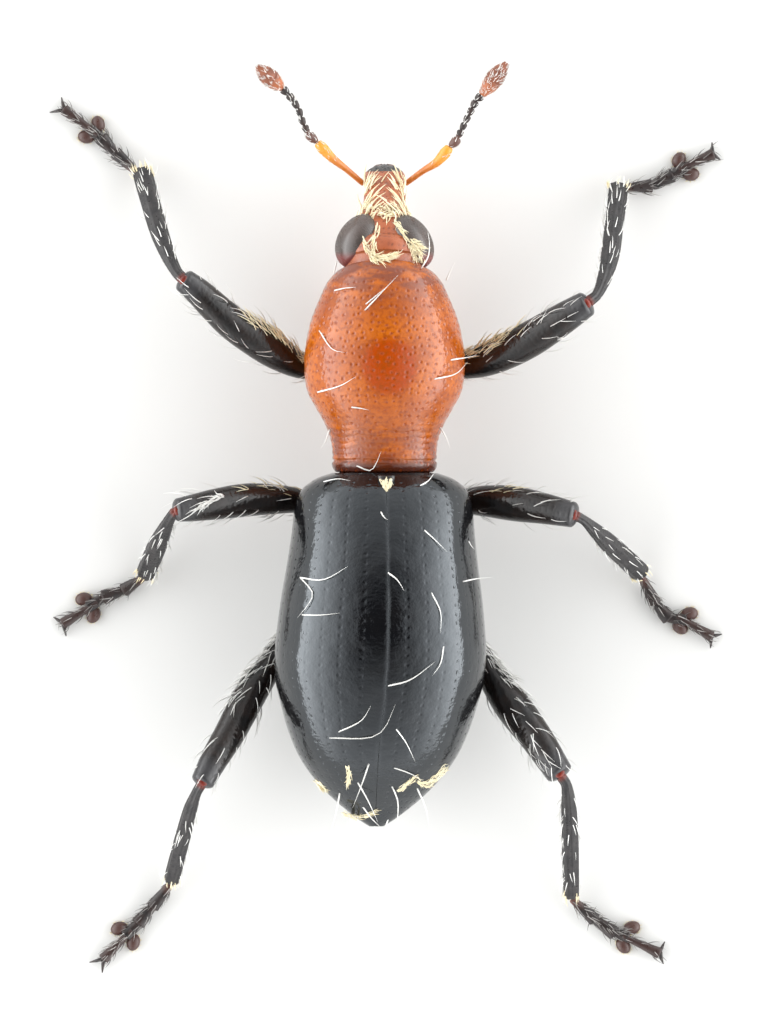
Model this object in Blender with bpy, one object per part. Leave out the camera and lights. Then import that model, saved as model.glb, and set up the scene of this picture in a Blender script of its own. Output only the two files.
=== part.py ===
# Ant-like weevil, life size and still, standing on a flat floor.
#
# Sizes are in millimetres while the meshes are made, and the last step turns them into metres.
# The head points to -Y, the animal's left side is +X, and the soles of the feet are at z = 0.

from math import acos, copysign, cos, pi, radians, sin

import bmesh
import bpy
import numpy as np
from mathutils import Matrix, Vector

MILLIMETRE = 0.001
GAP = 0.008  # room between two parts that touch
MERGE = 0.0002  # points this close are one
SEAT_MARGIN = 1.25  # a seat is cut this much wider than the gap, because facets cut its corners
SMOOTH_ANGLE = radians(50)  # edges sharper than this stay sharp

# Body stations: y, half width, top, height of the widest line, bottom.
PROTHORAX = [
    (-1.955, 0.375, 1.235, 0.93, 0.600),
    (-1.863, 0.444, 1.315, 0.92, 0.500),
    (-1.665, 0.512, 1.395, 0.90, 0.415),
    (-1.430, 0.577, 1.440, 0.88, 0.360),
    (-1.203, 0.607, 1.450, 0.87, 0.335),
    (-0.995, 0.588, 1.420, 0.86, 0.340),
    (-0.854, 0.520, 1.365, 0.85, 0.370),
    (-0.732, 0.451, 1.285, 0.84, 0.420),
    (-0.618, 0.406, 1.215, 0.83, 0.455),
    (-0.505, 0.391, 1.175, 0.82, 0.470),
    (-0.414, 0.395, 1.165, 0.82, 0.465),
    (-0.374, 0.375, 1.140, 0.82, 0.480),
]
HIND_BODY = [
    (-0.360, 0.400, 1.165, 0.80, 0.480),
    (-0.310, 0.530, 1.220, 0.80, 0.440),
    (-0.216, 0.636, 1.300, 0.80, 0.385),
    (-0.072, 0.675, 1.390, 0.80, 0.340),
    (0.110, 0.694, 1.475, 0.80, 0.315),
    (0.330, 0.722, 1.545, 0.81, 0.305),
    (0.560, 0.757, 1.585, 0.82, 0.300),
    (0.790, 0.784, 1.600, 0.82, 0.300),
    (1.000, 0.800, 1.585, 0.82, 0.305),
    (1.200, 0.790, 1.545, 0.81, 0.315),
    (1.400, 0.742, 1.470, 0.80, 0.330),
    (1.600, 0.680, 1.365, 0.78, 0.350),
    (1.780, 0.600, 1.235, 0.76, 0.375),
    (1.940, 0.490, 1.085, 0.73, 0.405),
    (2.080, 0.362, 0.935, 0.69, 0.440),
    (2.190, 0.235, 0.800, 0.65, 0.480),
    (2.270, 0.130, 0.715, 0.62, 0.515),
    (2.318, 0.055, 0.655, 0.60, 0.555),
]
BACK_SQUARENESS = 1.25  # over 1, the back is flatter on top and rounder at its sides than an ellipse
TAIL_SHIFT = 0.062  # the hind body leans this far to the animal's left at its tip
# The seam between the wing cases wanders off the middle: y, offset to the left.
SEAM = [(-0.360, -0.010), (0.300, -0.045), (0.900, -0.057), (1.360, -0.040), (1.750, -0.006), (2.318, 0.010)]
THORAX_END = 0.560  # where the underside changes from thorax to abdomen
ELYTRON_EDGE = radians(-20)  # the elytra wrap round the sides down to this angle
ELYTRON_THICKNESS = 0.070
ELYTRON_GAP = 0.016
INSET_LIMIT = 0.45  # no inset is more than this share of the half width
VENTRITE_SEAMS = (0.98, 1.28, 1.50, 1.72)
SEAM_DEPTH = 0.016
SEAM_REACH = (-0.030, 0, 0.008)  # stations about each seam: the plate in front ends in a slope
SEAM_CLEAR = 0.050  # no other station stands nearer to a seam
LIP_LIMIT = 0.25  # radians: the most that the underside's rim keeps below an elytron's edge

# Head stations: y, z, half width, half height.
HEAD = [
    (-1.964, 0.912, 0.340, 0.285),
    (-1.990, 0.904, 0.362, 0.300),
    (-2.060, 0.880, 0.344, 0.268),
    (-2.140, 0.856, 0.300, 0.245),
    (-2.215, 0.816, 0.240, 0.222),
    (-2.275, 0.773, 0.194, 0.182),
    (-2.318, 0.725, 0.170, 0.150),
]
ROSTRUM = [
    (-2.326, 0.714, 0.168, 0.146),
    (-2.400, 0.625, 0.160, 0.126),
    (-2.480, 0.525, 0.158, 0.116),
    (-2.550, 0.430, 0.160, 0.110),
    (-2.605, 0.345, 0.158, 0.098),
    (-2.632, 0.300, 0.140, 0.080),
]
# Mandibles: distance out from the middle, then station along the jaw.
MANDIBLE_ROOT = (0.045, -2.640, 0.286)
MANDIBLE_TIP = (0.022, -2.704, 0.205)
MANDIBLE_RADII = (0.052, 0.040, 0.012)
MANDIBLE_BOW = 1.1  # the middle of each jaw stands out this much against its root
MANDIBLE_FLATNESS = 0.7

EYE_CENTRE = (0.206, -2.105, 0.935)
EYE_RADII = (0.163, 0.214, 0.215)
EYE_TURN = radians(-27)  # the front of each eye turns in toward the rostrum

SCUTELLUM_MIDDLE = -0.014
SCUTELLUM_HALF_WIDTH = 0.066
SCUTELLUM_ENDS = (-0.340, -0.215)
SCUTELLUM_TOP = 1.262
SCUTELLUM_STATIONS = (0.0, 0.35, 0.7, 0.92)  # shares of its length
SCUTELLUM_TAPER = 1.6  # how late the sides draw in to the point behind
SCUTELLUM_RISE = 0.030
# Across the scutellum: share of its half width, and how far under its top.
SCUTELLUM_SECTION = [(1, 0.075), (1, 0.012), (0.5, 0), (-0.5, 0), (-1, 0.012), (-1, 0.075)]

# Each antenna: scape stations, funicle beads from the scape outward, club ends.
SCAPE_RADII = (0.021, 0.024, 0.033, 0.043, 0.034)
FUNICLE_RADII = (0.037, 0.028, 0.027, 0.027, 0.028, 0.031, 0.034)
FUNICLE_LENGTHS = (1.45, 1, 1, 1, 1, 1, 0.95)  # each bead's length against the others
BEAD = ((0.06, 0.55), (0.35, 0.88), (0.75, 1.0), (0.95, 0.62))  # place along a bead, share of its radius
CLUB_RADII = (0.030, 0.052, 0.066, 0.068, 0.054, 0.026)
ANTENNAE = {
    "left": {
        "scape": [(0.165, -2.560, 0.440), (0.290, -2.665, 0.525), (0.391, -2.743, 0.575),
                  (0.470, -2.822, 0.610), (0.502, -2.856, 0.618)],
        "funicle": [(0.512, -2.868, 0.621), (0.565, -2.917, 0.636), (0.618, -3.016, 0.655),
                    (0.656, -3.122, 0.672), (0.725, -3.222, 0.690), (0.775, -3.272, 0.700)],
        "club": [(0.781, -3.278, 0.702), (0.958, -3.428, 0.800)],
    },
    "right": {
        "scape": [(-0.165, -2.560, 0.440), (-0.290, -2.650, 0.525), (-0.391, -2.712, 0.575),
                  (-0.460, -2.786, 0.610), (-0.488, -2.824, 0.618)],
        "funicle": [(-0.496, -2.836, 0.621), (-0.542, -2.879, 0.636), (-0.588, -2.970, 0.655),
                    (-0.641, -3.077, 0.672), (-0.690, -3.170, 0.684), (-0.736, -3.222, 0.690)],
        "club": [(-0.742, -3.229, 0.692), (-0.918, -3.455, 0.730)],
    },
}

# Legs. coxa: centre, radii. femur and tibia: x, y, z, half width. The tarsus runs on the floor through
# the ends of its first two segments, to the two lobes of the third, and to the ends of its claws.
FEMUR_FLATNESS = 0.94  # half height of a femur against its half width
TIBIA_FLATNESS = 0.86
SEGMENT_RADII = ((0.028, 0.053), (0.030, 0.058), (0.030, 0.054))  # root and end of the first three
SEGMENT_FLATNESS = 0.72
SEGMENT_OVERLAP = 0.010  # how far each segment starts inside the one before
SEGMENT_WAIST = (0.45, 0.75)  # its middle station: share of its length, share of its end's radius
CLAW_SEGMENT_RADII = (0.022, 0.030, 0.044)
CLAW_SEGMENT_FLATNESS = 0.85
LEGS = {
    "left_fore": {
        "coxa": ((0.185, -1.165, 0.345), (0.150, 0.165, 0.150)),
        "femur": [(0.345, -1.150, 0.345, 0.070), (0.620, -1.165, 0.450, 0.090), (0.790, -1.255, 0.535, 0.126),
                  (0.945, -1.362, 0.605, 0.143), (1.165, -1.506, 0.685, 0.128), (1.392, -1.715, 0.765, 0.107),
                  (1.510, -1.812, 0.800, 0.092)],
        "tibia": [(1.530, -1.832, 0.795, 0.044), (1.580, -1.890, 0.755, 0.044), (1.650, -2.030, 0.640, 0.058),
                  (1.715, -2.200, 0.500, 0.070), (1.785, -2.430, 0.315, 0.073), (1.835, -2.610, 0.170, 0.076),
                  (1.848, -2.655, 0.135, 0.070)],
        "tarsus": [(1.905, -2.668, 0.100), (2.050, -2.800, 0.060), (2.155, -2.912, 0.056)],
        "lobes": [(2.183, -3.020), (2.272, -2.925)],
        "claw_segment": [(2.180, -2.935, 0.070), (2.440, -3.130, 0.058)],
        "claws": [(2.462, -3.222), (2.548, -3.112)],
    },
    "right_fore": {
        "coxa": ((-0.185, -1.175, 0.345), (0.150, 0.165, 0.150)),
        "femur": [(-0.345, -1.165, 0.345, 0.070), (-0.620, -1.180, 0.460, 0.105), (-0.831, -1.241, 0.560, 0.130),
                  (-1.096, -1.369, 0.675, 0.137), (-1.354, -1.530, 0.785, 0.120), (-1.520, -1.635, 0.850, 0.100)],
        "tibia": [(-1.548, -1.660, 0.845, 0.042), (-1.612, -1.719, 0.800, 0.040), (-1.672, -1.860, 0.690, 0.056),
                  (-1.712, -2.030, 0.550, 0.071), (-1.740, -2.230, 0.385, 0.072), (-1.768, -2.440, 0.220, 0.074),
                  (-1.780, -2.540, 0.145, 0.072)],
        "tarsus": [(-1.810, -2.530, 0.105), (-2.030, -2.550, 0.060), (-2.190, -2.630, 0.056)],
        "lobes": [(-2.245, -2.745), (-2.335, -2.640)],
        "claw_segment": [(-2.240, -2.675, 0.070), (-2.500, -2.792, 0.058)],
        "claws": [(-2.497, -2.880), (-2.560, -2.750)],
    },
    "left_mid": {
        "coxa": ((0.230, -0.080, 0.330), (0.140, 0.140, 0.130)),
        "femur": [(0.375, -0.110, 0.335, 0.066), (0.560, -0.140, 0.405, 0.080), (0.780, -0.160, 0.520, 0.108),
                  (1.036, -0.156, 0.650, 0.126), (1.270, -0.125, 0.770, 0.118), (1.450, -0.095, 0.850, 0.102),
                  (1.556, -0.080, 0.895, 0.090)],
        "tibia": [(1.585, -0.060, 0.890, 0.040), (1.622, -0.012, 0.835, 0.040), (1.670, 0.080, 0.680, 0.056),
                  (1.722, 0.190, 0.500, 0.073), (1.770, 0.300, 0.315, 0.075), (1.808, 0.390, 0.165, 0.076),
                  (1.816, 0.410, 0.135, 0.070)],
        "tarsus": [(1.845, 0.440, 0.100), (1.985, 0.530, 0.060), (2.140, 0.585, 0.056)],
        "lobes": [(2.292, 0.600), (2.218, 0.720)],
        "claw_segment": [(2.185, 0.622, 0.070), (2.447, 0.785, 0.058)],
        "claws": [(2.520, 0.738), (2.428, 0.878)],
    },
    "right_mid": {
        "coxa": ((-0.230, -0.080, 0.330), (0.140, 0.140, 0.130)),
        "femur": [(-0.375, -0.110, 0.335, 0.066), (-0.560, -0.140, 0.410, 0.088), (-0.760, -0.148, 0.520, 0.118),
                  (-0.980, -0.128, 0.650, 0.133), (-1.225, -0.087, 0.765, 0.116), (-1.420, -0.045, 0.845, 0.098)],
        "tibia": [(-1.450, -0.035, 0.845, 0.038), (-1.514, 0.000, 0.800, 0.036), (-1.610, 0.085, 0.670, 0.056),
                  (-1.715, 0.182, 0.510, 0.073), (-1.830, 0.285, 0.330, 0.075), (-1.930, 0.378, 0.170, 0.076),
                  (-1.950, 0.398, 0.138, 0.070)],
        "tarsus": [(-1.962, 0.440, 0.105), (-2.060, 0.625, 0.060), (-2.165, 0.745, 0.056)],
        "lobes": [(-2.325, 0.712), (-2.253, 0.812)],
        "claw_segment": [(-2.225, 0.730, 0.070), (-2.490, 0.882, 0.058)],
        "claws": [(-2.568, 0.868), (-2.486, 0.970)],
    },
    "left_hind": {
        "coxa": ((0.400, 0.560, 0.325), (0.170, 0.120, 0.110)),
        "femur": [(0.565, 0.630, 0.335, 0.066), (0.715, 0.850, 0.385, 0.070), (0.862, 1.080, 0.455, 0.102),
                  (1.010, 1.305, 0.560, 0.124), (1.160, 1.590, 0.700, 0.118), (1.290, 1.810, 0.805, 0.105),
                  (1.372, 1.968, 0.872, 0.090)],
        "tibia": [(1.385, 1.998, 0.865, 0.038), (1.425, 2.068, 0.810, 0.038), (1.470, 2.190, 0.690, 0.052),
                  (1.520, 2.370, 0.520, 0.058), (1.572, 2.560, 0.330, 0.060), (1.612, 2.710, 0.180, 0.060),
                  (1.620, 2.740, 0.145, 0.054)],
        "tarsus": [(1.635, 2.775, 0.105), (1.765, 2.940, 0.058), (1.875, 3.065, 0.054)],
        "lobes": [(2.022, 3.110), (1.915, 3.215)],
        "claw_segment": [(1.925, 3.120, 0.068), (2.140, 3.340, 0.056)],
        "claws": [(2.245, 3.368), (2.152, 3.445)],
    },
    "right_hind": {
        "coxa": ((-0.400, 0.560, 0.325), (0.170, 0.120, 0.110)),
        "femur": [(-0.565, 0.640, 0.335, 0.066), (-0.665, 0.890, 0.385, 0.072), (-0.790, 1.140, 0.455, 0.104),
                  (-0.960, 1.392, 0.570, 0.137), (-1.145, 1.640, 0.700, 0.126), (-1.320, 1.905, 0.805, 0.105)],
        "tibia": [(-1.340, 1.938, 0.800, 0.038), (-1.380, 2.010, 0.750, 0.040), (-1.398, 2.160, 0.640, 0.056),
                  (-1.410, 2.400, 0.470, 0.064), (-1.418, 2.640, 0.300, 0.062), (-1.424, 2.835, 0.155, 0.058),
                  (-1.425, 2.855, 0.140, 0.054)],
        "tarsus": [(-1.440, 2.895, 0.105), (-1.600, 3.040, 0.058), (-1.750, 3.145, 0.054)],
        "lobes": [(-1.885, 3.105), (-1.820, 3.240)],
        "claw_segment": [(-1.815, 3.165, 0.068), (-2.092, 3.297, 0.056)],
        "claws": [(-2.135, 3.215), (-2.125, 3.378)],
    },
}
LOBE_RADII = (0.066, 0.052, 0.046)
LOBE_HEIGHT = 0.034  # of the middle of a lobe, whose sole is cut flat at the floor
LOBE_ROOT_HEIGHT = 0.050
CLAW_RADII = (0.017, 0.0136, 0.006)
CLAW_ARCH = 0.016
CLAW_TIP_HEIGHT = 0.012

ELYTRON_SIDES = 12  # points across the outside of one elytron
ELYTRON_LINING = 8  # points across its inside
BODY_SIDES = 26
LIMB_SIDES = 10
TIP_RING = (0.72, 0.6)  # a rounded end's last ring: share of the width, share of the bulge
# How far the rounded ends of a limb bulge past its first and its last station.
ROUNDED = {"scape": (0.010, 0.014), "club": (0, 0.016), "femur": (0.020, 0.040), "tibia": (0.030, 0.014),
           "segment": (0.012, 0.016), "claw_segment": (0, 0.012), "claw": (0, 0.010), "jaw": (0, 0.012)}

COLOURS = {
    "orange_cuticle": ((0.330, 0.085, 0.015), 0.22),
    "red_brown_cuticle": ((0.150, 0.035, 0.012), 0.30),
    "black_cuticle": ((0.012, 0.010, 0.010), 0.16),
    "leg_cuticle": ((0.020, 0.012, 0.010), 0.20),
    "tarsus_cuticle": ((0.070, 0.035, 0.020), 0.45),
    "antenna_cuticle": ((0.280, 0.080, 0.018), 0.30),
    "dark_antenna": ((0.035, 0.015, 0.010), 0.40),
    "eye_surface": ((0.018, 0.018, 0.020), 0.25),
    "pale_hair": ((0.620, 0.520, 0.340), 0.60),
}


def smooth_rows(rows, steps):
    """Rows of numbers read from a smooth curve through the given rows, `steps` for each span."""
    rows = np.array(rows, float)
    padded = np.vstack([2 * rows[0] - rows[1], rows, 2 * rows[-1] - rows[-2]])
    found = []
    for a, b, c, d in zip(padded[:-3], padded[1:-2], padded[2:-1], padded[3:]):
        for t in np.arange(steps) / steps:
            found.append(0.5 * (2 * b + (c - a) * t + (2 * a - 5 * b + 4 * c - d) * t**2
                                + (3 * b - a - 3 * c + d) * t**3))
    return np.array(found + [rows[-1]])


def row_at(rows, place):
    """The row at a place along the first column."""
    rows = np.array(rows, float)
    return np.array([np.interp(place, rows[:, 0], column) for column in rows.T])


def mesh_of(name, points, faces):
    mesh = bpy.data.meshes.new(name)
    mesh.from_pydata([tuple(p) for p in points], [], faces)
    bm = bmesh.new()
    bm.from_mesh(mesh)
    bmesh.ops.remove_doubles(bm, verts=bm.verts, dist=MERGE)
    bmesh.ops.recalc_face_normals(bm, faces=bm.faces)
    bm.to_mesh(mesh)
    bm.free()
    return mesh


def new_object(name, points, faces):
    part = bpy.data.objects.new(name, mesh_of(name, points, faces))
    bpy.context.scene.collection.objects.link(part)
    return part


def loft(name, rings, first_tip=None, last_tip=None):
    """A closed skin through rings of equal length, ended by a flat face or drawn to a tip."""
    sides = len(rings[0])
    points = [p for ring in rings for p in ring]
    faces = []
    for r in range(len(rings) - 1):
        for i in range(sides):
            j = (i + 1) % sides
            faces.append((r * sides + i, r * sides + j, (r + 1) * sides + j, (r + 1) * sides + i))
    last = (len(rings) - 1) * sides
    for tip, start in ((first_tip, 0), (last_tip, last)):
        if tip is None:
            faces.append(tuple(range(start, start + sides)))
            continue
        points.append(tip)
        faces += [(start + i, start + (i + 1) % sides, len(points) - 1) for i in range(sides)]
    return new_object(name, points, faces)


def limb(name, rows, flatness=1.0, sides=LIMB_SIDES, steps=2, rounded=(0, 0)):
    """A tube through rows of x, y, z and half width, with its wide side level."""
    stations = smooth_rows(rows, steps)
    centres, widths = stations[:, :3], stations[:, 3]
    along = np.gradient(centres, axis=0)
    along /= np.linalg.norm(along, axis=1)[:, None]
    rings = []
    for centre, width, way in zip(centres, widths, along):
        side = np.cross(way, (0, 0, 1))
        side /= np.linalg.norm(side)
        up = np.cross(side, way)
        rings.append([centre + width * (cos(a) * side + flatness * sin(a) * up)
                      for a in np.linspace(0, 2 * pi, sides, endpoint=False)])
    ends = []
    for at, way, bulge in ((0, -along[0], rounded[0]), (-1, along[-1], rounded[1])):
        if not bulge:
            ends.append(None)
            continue
        narrow, reach = TIP_RING
        ring = [centres[at] + narrow * (p - centres[at]) + reach * bulge * way for p in rings[at]]
        rings = [ring] + rings if at == 0 else rings + [ring]
        ends.append(centres[at] + bulge * way)
    return loft(name, rings, *ends)


def ellipsoid(name, centre, radii, turn=0.0, rings=7, sides=12):
    points = []
    for r in range(1, rings):
        level = pi * r / rings
        points.append([Vector((radii[0] * sin(level) * cos(a), radii[1] * sin(level) * sin(a),
                               radii[2] * cos(level)))
                       for a in np.linspace(0, 2 * pi, sides, endpoint=False)])
    top, bottom = Vector((0, 0, radii[2])), Vector((0, 0, -radii[2]))
    place = Matrix.Translation(centre) @ Matrix.Rotation(turn, 4, "Z")
    placed = [[place @ p for p in ring] for ring in points]
    return loft(name, placed, place @ top, place @ bottom)


def remove(part):
    mesh = part.data
    bpy.data.objects.remove(part)
    bpy.data.meshes.remove(mesh)


def apply_boolean(part, operation, tool=None, tools=None):
    cut = part.modifiers.new("cut", "BOOLEAN")
    cut.operation = operation
    cut.solver = "EXACT"
    if tools:
        cut.operand_type = "COLLECTION"
        cut.collection = tools
    else:
        cut.object = tool
    bpy.context.view_layer.update()
    graph = bpy.context.evaluated_depsgraph_get()
    mesh = bpy.data.meshes.new_from_object(part.evaluated_get(graph))
    old = part.data
    part.modifiers.remove(cut)
    part.data = mesh
    bpy.data.meshes.remove(old)


def join_pieces(name, pieces):
    """One closed body from pieces that run into one another."""
    tools = bpy.data.collections.new(name + "_pieces")
    for piece in pieces[1:]:
        tools.objects.link(piece)
    apply_boolean(pieces[0], "UNION", tools=tools)
    for piece in pieces[1:]:
        remove(piece)
    bpy.data.collections.remove(tools)
    pieces[0].name = name
    keep_largest(pieces[0])
    return pieces[0]


def keep_largest(part):
    bm = bmesh.new()
    bm.from_mesh(part.data)
    bmesh.ops.remove_doubles(bm, verts=bm.verts, dist=MERGE)
    left, groups = set(bm.faces), []
    while left:
        group, edge = set(), [left.pop()]
        while edge:
            face = edge.pop()
            group.add(face)
            near = {other for e in face.edges for other in e.link_faces} & left
            left -= near
            edge += near
        groups.append(group)
    groups.sort(key=lambda g: sum(face.calc_area() for face in g))
    bmesh.ops.delete(bm, geom=[face for group in groups[:-1] for face in group], context="FACES")
    bm.to_mesh(part.data)
    bm.free()


def carve(part, tool, gap=GAP):
    """Cuts a seat for the tool into the part, with the gap all round it."""
    mesh = tool.data.copy()
    cutter = bpy.data.objects.new("cutter", mesh)
    bpy.context.scene.collection.objects.link(cutter)
    bm = bmesh.new()
    bm.from_mesh(mesh)
    bm.normal_update()
    moved = [v.co + v.normal * gap * SEAT_MARGIN for v in bm.verts]
    for vertex, place in zip(bm.verts, moved):
        vertex.co = place
    bm.to_mesh(mesh)
    bm.free()
    apply_boolean(part, "DIFFERENCE", tool=cutter)
    remove(cutter)
    keep_largest(part)


def cut_at_floor(part):
    """A flat sole: everything under z = 0 is cut away."""
    bm = bmesh.new()
    bm.from_mesh(part.data)
    cut = bmesh.ops.bisect_plane(bm, geom=bm.verts[:] + bm.edges[:] + bm.faces[:], dist=MERGE,
                                 plane_co=(0, 0, 0), plane_no=(0, 0, 1), clear_inner=True)
    rim = [e for e in cut["geom_cut"] if isinstance(e, bmesh.types.BMEdge)]
    bmesh.ops.holes_fill(bm, edges=rim, sides=0)
    bmesh.ops.recalc_face_normals(bm, faces=bm.faces)
    bm.to_mesh(part.data)
    bm.free()


def body_point(station, angle, inset=0.0, shift=0.0, squareness=1.0):
    """A point on the outline across the body. Angle 90 degrees is the top, 0 the animal's left side."""
    y, half_width, top, wide, bottom = station
    inset = min(inset, INSET_LIMIT * half_width)
    across, up, reach = cos(angle), sin(angle), wide - bottom
    if up > 0:
        across, up = copysign(abs(across) ** (1 / squareness), across), up ** (1 / squareness)
        reach = top - wide
    return (shift + (half_width - inset) * across, y, wide + (reach - inset) * up)


def back_point(station, angle, inset=0.0, shift=0.0):
    return body_point(station, angle, inset, shift, BACK_SQUARENESS)


def hind_shift(y):
    start, end = HIND_BODY[0][0], HIND_BODY[-1][0]
    return TAIL_SHIFT * (y - start) / (end - start)


def make_prothorax():
    rings = [[body_point(station, a) for a in np.linspace(0, 2 * pi, BODY_SIDES, endpoint=False)]
             for station in PROTHORAX]
    return loft("prothorax", rings)


def elytron_ring(station, side):
    """One section of a wing case: over the outside to its lower edge, and back along the inside."""
    y, half_width = station[:2]
    across = (side * np.interp(y, *zip(*SEAM)) + ELYTRON_GAP / 2) / half_width
    seam = acos(copysign(abs(across) ** BACK_SQUARENESS, across))
    outside = [back_point(station, a) for a in np.linspace(seam, ELYTRON_EDGE, ELYTRON_SIDES)]
    inside = [back_point(station, a, ELYTRON_THICKNESS)
              for a in np.linspace(ELYTRON_EDGE, seam, ELYTRON_LINING)]
    return [(hind_shift(y) + side * x, y, z) for x, y, z in outside + inside]


def make_elytron(name, side):
    return loft(name, [elytron_ring(station, side) for station in HIND_BODY])


def under_ring(station, seam_depth=0.0):
    """One section of the body under the wing cases: inside them above, and bare below their edges."""
    shift = hind_shift(station[0])
    y, half_width, top, wide, bottom = station
    station = (y, half_width, top, wide, bottom + seam_depth)
    inset = ELYTRON_THICKNESS + ELYTRON_GAP
    lip = min(ELYTRON_GAP / half_width, LIP_LIMIT)
    upper = np.linspace(pi - ELYTRON_EDGE, ELYTRON_EDGE, 2 * ELYTRON_LINING - 1)
    lower = np.linspace(ELYTRON_EDGE - lip, -pi - ELYTRON_EDGE + lip, ELYTRON_SIDES)
    return ([back_point(station, a, inset, shift) for a in upper]
            + [back_point(station, a, 0.0, shift) for a in lower])


def make_thorax_underside():
    front = [s for s in HIND_BODY if s[0] < THORAX_END - GAP]
    front.append(row_at(HIND_BODY, THORAX_END - GAP / 2))
    return loft("pterothorax", [under_ring(s) for s in front])


def make_abdomen():
    """The abdomen, with a seam between each two plates of its underside."""
    places = {THORAX_END + GAP / 2} | {s[0] for s in HIND_BODY if s[0] > THORAX_END + GAP}
    for seam in VENTRITE_SEAMS:
        places = {y for y in places if abs(y - seam) > SEAM_CLEAR} | {seam + reach for reach in SEAM_REACH}
    rings = [under_ring(row_at(HIND_BODY, y), SEAM_DEPTH * (y in VENTRITE_SEAMS)) for y in sorted(places)]
    return loft("abdomen", rings)


def tilted_limb(name, rows, sides):
    """A tube in the animal's middle plane, from rows of y, z, half width and half height."""
    stations = smooth_rows(rows, 2)
    centres = np.array([(0, y, z) for y, z, _, _ in stations])
    along = np.gradient(centres, axis=0)
    rings = []
    for centre, way, (_, _, width, height) in zip(centres, along, stations):
        up = np.cross((1, 0, 0), way)
        up /= np.linalg.norm(up) * (1 if up[2] > 0 else -1)
        rings.append([centre + width * cos(a) * np.array((1, 0, 0)) + height * sin(a) * up
                      for a in np.linspace(0, 2 * pi, sides, endpoint=False)])
    return loft(name, rings)


def make_mandibles():
    """Two short pointed jaws that meet in the middle, on one base."""
    pieces = []
    for side in (1, -1):
        x, y, z = MANDIBLE_ROOT
        tip_x, tip_y, tip_z = MANDIBLE_TIP
        places = [(side * x, y, z), (side * MANDIBLE_BOW * x, (y + tip_y) / 2, (z + tip_z) / 2),
                  (side * tip_x, tip_y, tip_z)]
        rows = [(*place, radius) for place, radius in zip(places, MANDIBLE_RADII)]
        pieces.append(limb("jaw", rows, MANDIBLE_FLATNESS, sides=8, rounded=ROUNDED["jaw"]))
    return join_pieces("mandibles", pieces)


def make_eye(name, side):
    x, y, z = EYE_CENTRE
    return ellipsoid(name, (side * x, y, z), EYE_RADII, turn=side * EYE_TURN, rings=9, sides=16)


def make_scutellum():
    front, back = SCUTELLUM_ENDS
    rings = []
    for t in SCUTELLUM_STATIONS:
        y = front + t * (back - front)
        half = SCUTELLUM_HALF_WIDTH * (1 - t**SCUTELLUM_TAPER)
        rise = SCUTELLUM_RISE * t
        rings.append([(SCUTELLUM_MIDDLE + half * x, y, SCUTELLUM_TOP + rise - drop)
                      for x, drop in SCUTELLUM_SECTION])
    return loft("scutellum", rings)


def make_scape(name, points):
    rows = [(*p, r) for p, r in zip(points, SCAPE_RADII)]
    return limb(name, rows, sides=8, rounded=ROUNDED["scape"])


def make_funicle(name, points):
    """Seven beads on one string: the radius swells in each bead and narrows between two."""
    path = smooth_rows(points, 12)
    lengths = np.concatenate([[0], np.cumsum(np.linalg.norm(np.diff(path, axis=0), axis=1))])
    ends = np.concatenate([[0], np.cumsum(FUNICLE_LENGTHS)]) / sum(FUNICLE_LENGTHS) * lengths[-1]
    rows = []
    for start, end, radius in zip(ends[:-1], ends[1:], FUNICLE_RADII):
        for share, swell in BEAD:
            place = start + share * (end - start)
            rows.append([np.interp(place, lengths, column) for column in path.T] + [radius * swell])
    return limb(name, rows, sides=7, steps=1)


def make_club(name, ends):
    """Three segments closely joined, tapering to a blunt tip."""
    start, end = (np.array(p) for p in ends)
    rows = []
    for i, radius in enumerate(CLUB_RADII):
        rows.append([*(start + (end - start) * i / (len(CLUB_RADII) - 1)), radius])
    return limb(name, rows, sides=10, rounded=ROUNDED["club"])


def make_antenna(side, places):
    scape = make_scape(f"scape_{side}", places["scape"])
    funicle = make_funicle(f"funicle_{side}", places["funicle"])
    club = make_club(f"club_{side}", places["club"])
    carve(scape, funicle)
    carve(club, funicle)
    return scape, funicle, club


def make_claw(root, tip):
    """A curved claw from the end of its segment down to the floor."""
    root, tip = np.array(root), np.array(tip)
    middle = (root + tip) / 2 + np.array((0, 0, CLAW_ARCH))
    rows = [(*place, radius) for place, radius in zip((root, middle, tip), CLAW_RADII)]
    return limb("claw", rows, sides=6, rounded=ROUNDED["claw"])


def make_tarsus(name, leg):
    """Two triangular segments, a pair of lobes with flat soles, and the claw segment with its claws."""
    start, first, second = (np.array(p) for p in leg["tarsus"])
    lobe_root = np.array([*np.mean(leg["lobes"], axis=0), LOBE_ROOT_HEIGHT])
    claw_root, claw_end = (np.array(p) for p in leg["claw_segment"])
    pieces = []
    for a, b, (narrow, wide) in zip((start, first, second), (first, second, lobe_root), SEGMENT_RADII):
        way = (b - a) / np.linalg.norm(b - a)
        share, waist = SEGMENT_WAIST
        rows = [(*(a - SEGMENT_OVERLAP * way), narrow), (*(a + share * (b - a)), waist * wide), (*b, wide)]
        pieces.append(limb("segment", rows, SEGMENT_FLATNESS, sides=8, steps=1, rounded=ROUNDED["segment"]))
    for x, y in leg["lobes"]:
        out = np.array((x, y)) - second[:2]
        turn = np.arctan2(out[1], out[0])
        pieces.append(ellipsoid("lobe", (x, y, LOBE_HEIGHT), LOBE_RADII, turn, rings=5, sides=10))
    places = (claw_root, (claw_root + claw_end) / 2, claw_end)
    rows = [(*place, radius) for place, radius in zip(places, CLAW_SEGMENT_RADII)]
    pieces.append(limb("claw_segment", rows, CLAW_SEGMENT_FLATNESS, sides=8, steps=1,
                       rounded=ROUNDED["claw_segment"]))
    for x, y in leg["claws"]:
        pieces.append(make_claw(claw_end, (x, y, CLAW_TIP_HEIGHT)))
    tarsus = join_pieces(name, pieces)
    cut_at_floor(tarsus)
    keep_largest(tarsus)
    return tarsus


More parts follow.
